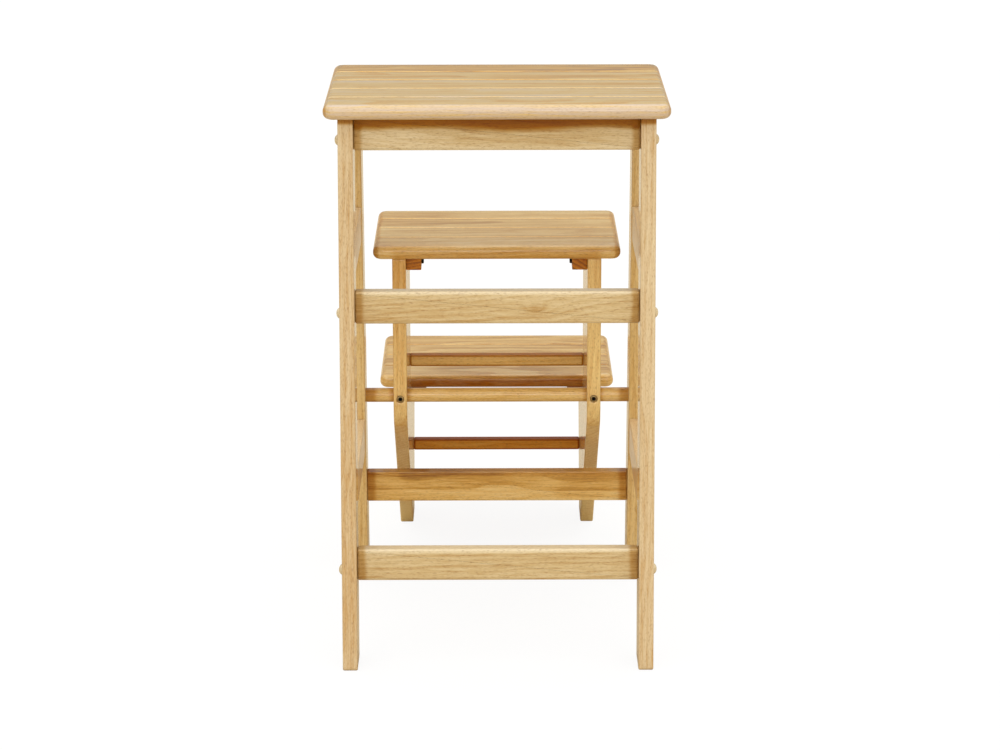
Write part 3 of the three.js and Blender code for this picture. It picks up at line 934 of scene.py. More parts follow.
@dataclass(frozen=True)
class GroovedTop:
    """Sizes of a board with rounded edges and V-grooves between its strips.

    Attributes:
        strips: how many strips it has.
        corner_radius: radius of its corners, seen from above.
        edge_radius: radius of its rounded edges.
        groove_width: width of a groove.
        groove_depth: depth of a groove.
        groove_glint: how pale the grooves are, a painted highlight.
        edge_wear_and_glint: how pale the rounded edges are, partly wear and partly painted highlight.
        lines: grid lines round an edge and over the middle.
        corner_lines: how far past a corner's start two more lines lie.
        end_zone: how far from the ends the middle's lines start.
        lip_lines: lines beside a groove's middle, in groove widths.
        margin: how far past the outer grooves the lines start to bend round the corners.
        margin_line: where one more line lies between there and the edge, as a share.
        point_softness: how round a groove's bottom is, in groove widths.
        glint_reach: how far the grooves' painted highlight reaches, in half widths.
    """

    strips: int
    corner_radius: float
    edge_radius: float = 0.0078
    groove_width: float = 0.0036
    groove_depth: float = 0.0017
    groove_glint: float = 1.0
    edge_wear_and_glint: float = 0.6
    lines: int = 9
    corner_lines: Span = (0.0008, 0.02)
    end_zone: float = 0.05
    lip_lines: tuple[float, ...] = (0.05, 0.2, 0.42, 0.5, 0.62, 1.4)
    margin: float = 0.004
    margin_line: float = 0.45
    point_softness: float = 0.06
    glint_reach: float = 1.2

    def surface(self, low: np.ndarray, high: np.ndarray) -> Surface:
        """Builds the board.

        The board is a height over its middle plane at each point of a grid. With d the distance
        in from the rounded outline, the height climbs as a quarter circle of the edge radius and
        stays level beyond it. Over a groove, the top is the lower of that height and a V with
        softened lips. The grid's lines crowd together at the edges, and the lines beyond the
        outer grooves are drawn in round the corners.

        Args:
            low: lowest corner of the board.
            high: highest corner.

        Returns:
            The closed skin.
        """
        half = (high - low) / 2
        bend, corner, wide = self.edge_radius, self.corner_radius, self.groove_width
        places = -half[1] + 2 * half[1] / self.strips * np.arange(1, self.strips)
        x, y = self.grid(half, places)

        past_x = np.abs(x) - (half[0] - corner)
        past_y = np.abs(y) - (half[1] - corner)
        outside = np.hypot(np.maximum(past_x, 0), np.maximum(past_y, 0))
        distance = np.clip(corner - outside - np.minimum(np.maximum(past_x, past_y), 0), 0, None)
        drawn = np.clip(bend - distance, 0, bend)
        height = half[2] - bend + np.sqrt(bend**2 - drawn**2)
        offset = np.abs(y[..., None] - places).min(-1)
        soft = wide * self.point_softness
        vee = half[2] - self.groove_depth * (1 - (np.sqrt(offset**2 + soft**2) - soft) / (wide / 2))
        gap = height - vee
        eased = height - (gap + LIP) ** 2 / (4 * LIP)
        top = np.where(gap > LIP, vee, np.where(gap < -LIP, height, eased))

        upper = np.stack([x, y, top], -1).reshape(-1, 3)
        lower = np.stack([x, y, -height], -1).reshape(-1, 3)
        points = np.concatenate([upper, lower]) + (low + high) / 2
        base = x.size
        number = np.arange(base).reshape(x.shape)
        cell = np.stack([number[:-1, :-1], number[1:, :-1], number[1:, 1:], number[:-1, 1:]], -1)
        cell = cell.reshape(-1, 4)
        rim = np.concatenate([number[:-1, 0], number[-1, :-1], number[:0:-1, -1], number[0, :0:-1]])
        following = np.roll(rim, -1)
        band = np.stack([rim, rim + base, following + base, following], -1)
        faces = np.concatenate([cell, cell[:, ::-1] + base, band]).tolist()
        # Paler rounded edges, partly wear and partly painted highlight, and grooves paled as painted
        # highlight.
        rounding = np.clip(1 - distance / bend, 0, 1) * self.edge_wear_and_glint
        grooves = np.clip(self.glint_reach - offset / (wide / 2), 0, 1) * self.groove_glint
        edge = np.concatenate([np.maximum(rounding, grooves).ravel(), rounding.ravel()])
        return Surface(points, faces, edge)

    def grid(self, half: np.ndarray, places: np.ndarray) -> tuple[np.ndarray, np.ndarray]:
        """The grid that the board's height is worked out on.

        Args:
            half: half of the board's size on each axis.
            places: the grooves' middles.

        Returns:
            The places from side to side and from back to front, around the board's middle.
        """
        bend, corner = self.edge_radius, self.corner_radius
        quarter = 1 - np.cos(np.linspace(0, np.pi / 2, self.lines))
        inner = corner + np.array(self.corner_lines)
        ends = np.unique(np.round(np.concatenate([bend * quarter, corner * quarter, inner]), GRID_DIGITS))
        body = np.linspace(-half[0] + self.end_zone, half[0] - self.end_zone, self.lines)
        across = np.concatenate([-half[0] + ends, body, half[0] - ends[::-1]])
        lips = np.array(self.lip_lines)
        lips = self.groove_width * np.concatenate([-lips[::-1], [0.0], lips])
        inside = (places[:, None] + lips[None, :]).ravel()
        limit = np.abs(inside).max() + self.margin
        share = np.concatenate([1 - bend * quarter / (half[1] - limit), [0.0, self.margin_line]])
        share = np.unique(np.round(share, GRID_DIGITS))
        past_corner = np.clip(np.abs(across) - (half[0] - corner), 0, corner)
        reach = half[1] - corner + np.sqrt(corner**2 - past_corner**2)
        outer = limit + (reach[:, None] - limit) * share[None, :]
        strip = np.broadcast_to(inside, (len(across), len(inside)))
        y = np.concatenate([-outer[:, ::-1], strip, outer], 1)
        return np.broadcast_to(across[:, None], y.shape), y


def turned_piece(
    profile: np.ndarray,
    start: Sequence[float],
    direction: Sequence[float],
    sides: int,
    socket_rings: int = 0,
) -> Surface:
    """A turned piece, its profile carried round an axis.

    Each profile point, a radius and a distance along the axis, becomes a ring; the first and the
    last close on the axis in one point. The first rings can be six-sided, for a wrench socket:
    their radius at an angle is the flat's distance over the cosine of the angle from the nearest
    flat's middle.

    Args:
        profile: rows of radius and distance along the axis, from one pole to the other.
        start: where the axis starts.
        direction: unit direction of the axis.
        sides: points round each ring.
        socket_rings: how many rings after the first pole are six-sided.

    Returns:
        The closed skin.
    """
    axis = np.asarray(direction, float)
    helper = np.eye(3)[np.argmin(np.abs(axis))]
    right = np.cross(helper, axis)
    right /= np.linalg.norm(right)
    out = circle_of(sides, right, np.cross(axis, right))
    angle = np.linspace(0, 2 * np.pi, sides, endpoint=False)
    ring = profile[1:-1]
    radius = np.repeat(ring[:, :1], sides, axis=1)
    radius[:socket_rings] /= np.cos((angle + np.pi / 6) % (np.pi / 3) - np.pi / 6)
    body = radius[..., None] * out[None] + ring[:, 1, None, None] * axis
    poles = np.array([profile[0, 1] * axis, profile[-1, 1] * axis])
    points = np.concatenate([body.reshape(-1, 3), poles]) + np.asarray(start, float)
    count = len(ring)
    number = np.arange(count * sides).reshape(count, sides)
    following = np.roll(number, -1, axis=1)
    first_pole = np.full(sides, count * sides)
    near = np.stack([following[0], number[0], first_pole], -1)
    far = np.stack([number[-1], following[-1], first_pole + 1], -1)
    faces = [*between_rings(number), *near.tolist(), *far.tolist()]
    edge = np.zeros(len(points))
    # The socket's rings and its pole are marked for painted shade.
    edge[: socket_rings * sides] = 1.0
    edge[-2] = float(socket_rings > 0)
    return Surface(points, faces, edge)


@dataclass(frozen=True)
class ScrewHead:
    """Sizes of a screw with a rounded head and a six-sided socket.

    Attributes:
        shank: radius of the shank.
        socket: distance of the socket's flats from its middle.
        height: height of the head.
        socket_share: depth of the socket, as a share of the head's height.
        flat_share: radius of the head's flat top, as a share of its own.
        crown_share: height of its rounding, as a share of the head's.
        hair: the smallest step, which keeps sides sharp.
        crown_points: points over that rounding.
        sides: points round the screw.
    """

    shank: float
    socket: float
    height: float = 0.003
    socket_share: float = 0.7
    flat_share: float = 0.72
    crown_share: float = 0.4
    hair: float = 0.0001
    crown_points: int = 6
    sides: int = 36

    def surface(self, node: str, axis: int, sign: int) -> Surface:
        """Builds the screw in the place of its solid.

        Args:
            node: the solid that it replaces.
            axis: number of the axis it lies along.
            sign: 1 where it points up that axis, -1 where it points down.

        Returns:
            The closed skin.
        """
        low, high = corners_of(node)
        radius = float(np.delete(high - low, axis).max()) / 2
        length = float(high[axis] - low[axis])
        hole, head, hair = self.socket, self.height, self.hair
        deep = head * self.socket_share
        flat = radius * self.flat_share
        angle = np.linspace(0, np.pi / 2, self.crown_points)
        crown_out = flat + (radius - flat) * np.sin(angle)
        crown = np.stack([crown_out, head * self.crown_share * (1 - np.cos(angle))], -1)
        recess = [[0, deep], [hole - hair, deep], [hole, deep - hair], [hole, 2 * hair], [hole + 2 * hair, 0]]
        shaft = [[radius, head - hair], [radius - hair, head], [self.shank, head]]
        tip = [[self.shank, length - self.shank], [0, length]]
        start = (low + high) / 2
        start[axis] = low[axis] if sign > 0 else high[axis]
        direction = sign * np.eye(3)[axis]
        profile = np.concatenate([recess, crown, shaft, tip])
        return turned_piece(profile, start, direction, self.sides, socket_rings=4)


def corners_of(node: str) -> tuple[np.ndarray, np.ndarray]:
    """Lowest and highest corner of a solid, as arrays.

    Args:
        node: the solid's name.

    Returns:
        Both corners.
    """
    low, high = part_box(node)
    return np.array(low), np.array(high)


def add_piece(
    name: str,
    surface: Surface,
    body: str,
    node: str,
    material: bpy.types.Material,
    crease: float = 50.0,
) -> None:
    """Makes the object of a new piece, lets it ride on its body and hides the solid it stands for.

    Args:
        name: the piece's name.
        surface: its skin.
        body: the body that carries it.
        node: the solid that it replaces.
        material: its finish.
        crease: sides that meet at a sharper angle than this, in degrees, stay sharp.
    """
    mesh = bpy.data.meshes.new(name)
    mesh.from_pydata(surface.points.tolist(), [], surface.faces)
    mesh.validate()
    mesh.polygons.foreach_set("use_smooth", np.ones(len(mesh.polygons), bool))
    mesh.set_sharp_from_angle(angle=math.radians(crease))
    attribute = mesh.attributes.new(EDGE, "FLOAT", "POINT")
    attribute.data.foreach_set("value", surface.edge.astype(np.float32))
    mesh.materials.append(material)
    mesh.update()
    made = bpy.data.objects.new(name, mesh)
    bpy.context.scene.collection.objects.link(made)
    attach(made, body)
    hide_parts(node)
    LOG.info("piece %s: %d faces on %s", name, len(mesh.polygons), body)


def dress(nodes: Sequence[str], material: bpy.types.Material) -> None:
    """Gives solids that stay in view a finish.

    Args:
        nodes: the solids' names.
        material: the finish.
    """
    for node in nodes:
        slots = frame["nodes"][node].data.materials
        slots.clear()
        slots.append(material)
    LOG.info("%d solids wear %s", len(nodes), material.name)


def sunk_bores(nodes: Sequence[str], mouth: float) -> list[Bore]:
    """Holes from below for screws that go up into a piece.

    Args:
        nodes: the screws' solids.
        mouth: height of the face that the holes start from.

    Returns:
        A hole for each screw, deeper than its head's underside by a share of the hole's radius.
    """
    bores = []
    for node in nodes:
        low, high = corners_of(node)
        middle = (low + high) / 2
        radius = (high[0] - low[0]) / 2 + HEAD_ROOM
        depth = low[2] - mouth + radius * SINK_SHARE
        bores.append(Bore((middle[0], middle[1], mouth), radius, depth))
    return bores


def middle_of(node: str) -> np.ndarray:
    """Middle of a solid's box.

    Args:
        node: the solid's name.

    Returns:
        Its three numbers.
    """
    low, high = corners_of(node)
    return (low + high) / 2


def seed_of(seeds: Sequence[float], *numbers: float) -> float:
    """The seed of one piece out of a row of like pieces.

    Args:
        seeds: the first piece's seed, then the step from piece to piece for each number.
        numbers: the piece's place in each direction.

    Returns:
        The seed.
    """
    return seeds[0] + sum(step * number for step, number in zip(seeds[1:], numbers))


def darker_ends(low: np.ndarray, high: np.ndarray, reach: float, amount: float) -> list[ShadeBand]:
    """Darker amber bands at the left and the right end of a piece: painted shade on rails and treads.

    Args:
        low: lowest corner of the piece.
        high: highest corner.
        reach: how far from each end.
        amount: how dark.

    Returns:
        Both lines.
    """
    return [ShadeBand(0, float(end), reach, amount) for end in (low[0], high[0])]


WOOD = VarnishedWood()
# The seat pales its edges and grooves strongly: a painted highlight along them.
SEAT_WOOD = replace(
    WOOD,
    light=linear(204, 182, 160),
    middle=linear(213, 180, 114),
    golden=linear(205, 152, 54),
    wear_and_glint_share=0.6,
)
LEG_WOOD = replace(WOOD, middle=linear(208, 182, 142), golden=linear(188, 144, 82))
SIDE_WOOD = replace(
    WOOD,
    light=linear(232, 208, 168),
    middle=linear(222, 190, 142),
    golden=linear(202, 158, 98),
    coat=0.5,
)
FRONT_WOOD = replace(
    WOOD,
    light=linear(230, 209, 165),
    middle=linear(216, 184, 124),
    golden=linear(192, 147, 78),
    deep=linear(135, 86, 30),
)
PANEL_WOOD = replace(
    FRONT_WOOD,
    light=linear(244, 217, 150),
    middle=linear(224, 185, 117),
    golden=linear(208, 154, 74),
)
GOLDEN_WOOD = replace(
    WOOD,
    light=linear(236, 212, 160),
    middle=linear(224, 184, 110),
    golden=linear(198, 148, 64),
    deep=linear(136, 84, 22),
)
# Wood of the upper stretcher: the same wood, made darker and more golden as painted shade.
SHADED_AMBER_WOOD = replace(
    WOOD,
    light=linear(236, 200, 126),
    middle=linear(224, 174, 84),
    golden=linear(198, 136, 42),
    deep=linear(132, 78, 14),
    coat=0.7,
)
# Wood of the lower stretcher and the cleats: the same wood, made darker and more saturated as painted shade.
SHADED_WOOD = replace(
    WOOD,
    light=linear(232, 176, 78),
    middle=linear(218, 146, 36),
    golden=linear(192, 116, 18),
    deep=linear(128, 70, 8),
    coat=0.4,
)
BRONZED_STEEL = DarkenedSteel(dark=linear(150, 126, 84), rubbed=linear(220, 196, 146))
BLACK_STEEL = DarkenedSteel(dark=linear(18, 17, 16), rubbed=linear(48, 46, 44))

# How the rails from side to side were cut: along is sideways, across is the height.
CROSS_RAILS: dict[str, Figure] = {
    "rear_apron": Figure(
        Grain.CROSSWISE_UPRIGHT,
        seed=51.0,
        pith=(0.70, -0.20),
        tilt=-0.10,
        bold=0.16,
        tone=-0.17,
        # Painted shade at the top, under the seat: a darker patch and a strong amber band.
        patches=(Patch(along=0.03, across=0.634, reach_along=0.15, reach_across=0.03, tone=0.28),),
        painted_shade=(ShadeBand(axis=2, place=0.650, reach=0.0195, amount=1.0),),
    ),
    "rear_middle_rail": Figure(
        Grain.CROSSWISE_UPRIGHT,
        seed=55.3,
        pith=(0.395, -0.285),
        tilt=0.10,
        knot=Knot(along=0.045, across=0.425, reach_along=0.02, reach_across=0.008, push=0.011),
        # Painted highlight: a paler line along the top edge.
        patches=(Patch(along=0.0, across=0.4467, reach_along=0.5, reach_across=0.005, tone=-0.5),),
    ),
    "rear_bottom_rail": Figure(
        Grain.CROSSWISE_UPRIGHT,
        seed=59.6,
        pith=(0.05, -0.33),
        tilt=0.03,
        tone=0.09,
        # Painted highlight: a paler line along the top edge.
        patches=(Patch(along=0.0, across=0.1416, reach_along=0.5, reach_across=0.006, tone=-0.6),),
    ),
    "front_rail": Figure(
        Grain.CROSSWISE_UPRIGHT,
        seed=63.9,
        pith=(0.15, -0.10),
        tilt=0.01,
        bold=0.2,
        tone=0.09,
        fade=6.0,
        middle=0.122,
        patches=(
            Patch(along=0.112, across=0.120, reach_along=0.05, reach_across=0.022, tone=0.17),
            Patch(along=-0.07, across=0.137, reach_along=0.10, reach_across=0.012, tone=0.2),
        ),
        # A thin darker amber band along the top edge.
        painted_shade=(ShadeBand(axis=2, place=0.1416, reach=0.008, amount=0.22),),
    ),
}


@dataclass
class Assembly:
    """A half of the stool, whose pieces ride on one body."""

    body: str

    def wooden(
        self, node: str, kind: str, skin: Surface, slot: str, wood: VarnishedWood, figure: Figure
    ) -> None:
        """Adds a wooden piece in the place of a solid.

        Args:
            node: the solid that it replaces.
            kind: what sort of piece it is: board, bar, rod or button.
            skin: its skin.
            slot: the record's material slot; not used.
            wood: its wood.
            figure: how it was cut.
        """
        add_piece(f"{node}_{kind}", skin, self.body, node, wood.material(f"{node}_wood", figure))

    def bolt(self, node: str, skin: Surface, slot: str, steel: DarkenedSteel) -> None:
        """Adds a screw in the place of a solid.

        Args:
            node: the solid that it replaces.
            skin: its skin.
            slot: the record's material slot; not used.
            steel: its finish.
        """
        add_piece(f"{node}_bolt", skin, self.body, node, steel.material(f"{node}_steel"), crease=35.0)


@dataclass
class SeatFrame(Assembly):
    """The seat on its four leaning legs, with all the rails between them.

    Attributes:
        leg_width to foot_corner: width of the legs, their easing, and their corners' radii.
        leg_top_shade, leg_top_shade_amount: reach and strength of the painted shade at the legs' tops, under
            the seat.
        foot_reach, foot_darker: how far up the feet are darker, and how much.
        leg_heart, leg_tilt: where the tree's heart lay from a leg's foot, and how it moves away.
        rail_ease to front_rail_corner: easing and corners of the rails from side to side.
        joint_shade, joint_shade_amount: reach and strength of the painted shade the legs cast on those rails'
            ends.
        side_rail_ease to side_rail_tone: the same of the side rails, their heart and their tone.
        plug_stem, plug_dome: radius of a plug's stem, and how high its dome is.
        plug_hair to plug_tone: its sharp edges' width, its points up the dome and round, its tone.
        seat_top: sizes of the seat's board.
        strip_tones: tones of its strips, from the near one.
        painted_nose: the paler near edge, a painted highlight, its place across counted from the seat's.
        edge_band, edge_band_amount: reach and strength of the darker amber bands along its other edges.
        seeds: first seed and steps of each row of pieces.
    """

    body: str = "seat_frame"
    leg_width: float = 0.0543
    leg_ease: float = 0.0018
    leg_corner: float = 0.0024
    foot_corner: float = 0.004
    leg_top_shade: float = 0.010
    leg_top_shade_amount: float = 0.8
    foot_reach: float = 0.42
    foot_darker: float = 0.05
    leg_heart: Span = (-0.05, -0.03)
    leg_tilt: float = 0.02
    rail_ease: float = 0.0024
    rail_corner: float = 0.0025
    front_rail_ease: float = 0.0014
    front_rail_corner: float = 0.0015
    joint_shade: float = 0.0125
    joint_shade_amount: float = 0.45
    side_rail_ease: float = 0.0013
    side_rail_corner: float = 0.0018
    side_rail_heart: Span = (-0.04, 0.1)
    side_rail_tone: float = -0.2
    plug_stem: float = 0.0047
    plug_dome: float = 0.0046
    plug_hair: float = 0.0003
    dome_points: int = 10
    plug_sides: int = 48
    plug_tone: float = -0.3
    seat_top: GroovedTop = GroovedTop(strips=5, corner_radius=0.013)
    strip_tones: tuple[float, ...] = (0.50, 0.47, 0.53, 0.62, 0.76)
    painted_nose: Patch = Patch(along=0.0, across=0.0, reach_along=0.6, reach_across=0.014, tone=-0.26)
    edge_band: float = 0.0045
    edge_band_amount: float = 0.4
    leg_seeds: tuple[float, float, float] = (11.0, 7.3, 3.1)
    side_rail_seeds: tuple[float, float, float] = (31.0, 2.7, 9.1)
    plug_seeds: tuple[float, float, float] = (70.0, 5.0, 1.0)
    slope: float = field(init=False)

    def __post_init__(self) -> None:
        """Works out the lean of the legs from a leg's box."""
        low, high = corners_of("rear_leg_left")
        self.slope = float((high[1] - low[1] - self.leg_width) / (high[2] - low[2]))

    def build(self) -> None:
        """Builds every piece of the seat frame."""
        self.seat()
        for number, (side, _) in enumerate(SIDES):
            for place, end in enumerate(("rear", "front")):
                self.leg(end, side, seed_of(self.leg_seeds, place, number))
            for place, row in enumerate(("top", "upper", "lower")):
                self.side_rail(row, side, seed_of(self.side_rail_seeds, place, number))
        for node, figure in CROSS_RAILS.items():
            self.cross_rail(node, figure)
            for side, sign in SIDES:
                self.plug(f"{node}_plug_{side}", sign)
        names = [n for n in frame["record"]["behaviour"]["bodies"][self.body] if "_screw_" in n]
        dress(names, BRONZED_STEEL.material("frame_screw_steel"))

    def seat(self) -> None:
        """The seat board with five strips."""
        low, high = corners_of("seat")
        # Darker amber bands along the seat's two ends and its far edge.
        painted_bands = darker_ends(low, high, self.edge_band, self.edge_band_amount)
        painted_bands.append(ShadeBand(1, float(high[1]), self.edge_band, self.edge_band_amount))
        figure = Figure(
            Grain.CROSSWISE_FLAT,
            seed=3.0,
            bold=0.18,
            streaky=0.8,
            fineness=125.0,
            strips=Strips(float(low[1]), float(high[1] - low[1]) / self.seat_top.strips, self.strip_tones),
            # Painted highlight: a paler band along the near edge.
            patches=(self.painted_nose.moved(0.0, float(low[1])),),
            painted_shade=tuple(painted_bands),
        )
        self.wooden("seat", "board", self.seat_top.surface(low, high), "seat_wood", SEAT_WOOD, figure)

    def leg(self, end: str, side: str, seed: float) -> None:
        """A leaning leg.

        Args:
            end: rear or front.
            side: left or right.
            seed: moves its pattern.
        """
        node = f"{end}_leg_{side}"
        low, high = corners_of(node)
        lean, wood = (1, LEG_WOOD) if end == "rear" else (-1, FRONT_WOOD)
        foot = low[1] if end == "rear" else high[1] - self.leg_width
        top = foot + lean * self.slope * (high[2] - low[2])
        wide = self.leg_width
        corners = np.array([[foot, low[2]], [foot + wide, low[2]], [top + wide, high[2]], [top, high[2]]])
        radii = (self.foot_corner, self.foot_corner, self.leg_corner, self.leg_corner)
        skin = eased_board(corners, radii, (low[0], high[0]), self.leg_ease, Plane.UPRIGHT_SIDE)
        figure = Figure(
            Grain.UPRIGHT,
            seed,
            slope=lean * self.slope,
            pith=(float(foot) + self.leg_heart[0], float(low[0]) + self.leg_heart[1]),
            tilt=self.leg_tilt,
            patches=(Patch(0.0, 0.0, self.foot_reach, reach_across=1.0, tone=self.foot_darker),),
            # Painted shade at the top, under the seat.
            painted_shade=(ShadeBand(2, float(high[2]), self.leg_top_shade, self.leg_top_shade_amount),),
        )
        self.wooden(node, "board", skin, "leg_wood", wood, figure)

    def inner_edge(self, end: str, height: float) -> float:
        """Where the inner edge of the legs at one end lies.

        Args:
            end: rear or front.
            height: height above the floor.

        Returns:
            The place from front to back.
        """
        low, high = corners_of(f"{end}_leg_left")
        if end == "rear":
            return float(low[1]) + self.leg_width + self.slope * height
        return float(high[1]) - self.leg_width - self.slope * height

    def side_rail(self, row: str, side: str, seed: float) -> None:
        """A rail between the two legs of one side.

        Args:
            row: top, upper or lower.
            side: left or right.
            seed: moves its pattern.
        """
        node = f"side_rail_{row}_{side}"
        low, high = corners_of(node)
        places = (("rear", low[2]), ("front", low[2]), ("front", high[2]), ("rear", high[2]))
        corners = np.array([[self.inner_edge(end, height), height] for end, height in places])
        screws = [f"seat_screw_{side}_{place}" for place in (1, 2)] if row == "top" else []
        bores = sunk_bores(screws, float(low[2]))
        radius, span = self.side_rail_corner, (low[0], high[0])
        skin = eased_board(corners, radius, span, self.side_rail_ease, Plane.UPRIGHT_SIDE, bores)
        heart_across, heart_through = self.side_rail_heart
        heart = (float(low[2]) + heart_across, heart_through)
        figure = Figure(Grain.LENGTHWISE, seed, pith=heart, tone=self.side_rail_tone)
        self.wooden(node, "board", skin, "leg_wood", SIDE_WOOD, figure)

    def cross_rail(self, node: str, figure: Figure) -> None:
        """A rail from side to side, its ends eased too.

        Args:
            node: the solid that it replaces.
            figure: how it was cut.
        """
        low, high = corners_of(node)
        # Painted shade at both ends, where the legs shadow the rail.
        ends = darker_ends(low, high, self.joint_shade, self.joint_shade_amount)
        figure = replace(figure, painted_shade=(*figure.painted_shade, *ends))
        corner, ease, wood = self.rail_corner, self.rail_ease, WOOD
        if node == "front_rail":
            corner, ease, wood = self.front_rail_corner, self.front_rail_ease, GOLDEN_WOOD
        corners = rectangle(low[[2, 0]], high[[2, 0]])
        skin = eased_board(corners, corner, (low[1], high[1]), ease, Plane.UPRIGHT_FACE)
        self.wooden(node, "board", skin, "rail_wood", wood, figure)

    def plug(self, node: str, sign: int) -> None:
        """A domed plug over a frame screw.

        Args:
            node: the solid that it replaces.
            sign: -1 on the left, 1 on the right.
        """
        low, high = corners_of(node)
        radius = (high[2] - low[2]) / 2
        base = high[0] - low[0] - self.plug_dome
        stem, hair = self.plug_stem, self.plug_hair
        angle = np.linspace(0, np.pi / 2, self.dome_points)
        dome = np.stack([radius * np.cos(angle), base + self.plug_dome * np.sin(angle)], -1)
        dome[-1, 0] = 0
        shaft = [[0, 0], [stem - hair, 0], [stem, hair], [stem, base - hair], [stem + hair, base]]
        profile = np.concatenate([shaft, [[radius - hair, base]], dome])
        _, depth, height = middle_of(node)
        start = [low[0] if sign > 0 else high[0], depth, height]
        skin = turned_piece(profile, start, [sign, 0, 0], self.plug_sides)
        seed = seed_of(self.plug_seeds, float(height), sign)
        figure = Figure(Grain.UPRIGHT_EDGE, seed, tone=self.plug_tone)
        self.wooden(node, "button", skin, "turned_wood", WOOD, figure)


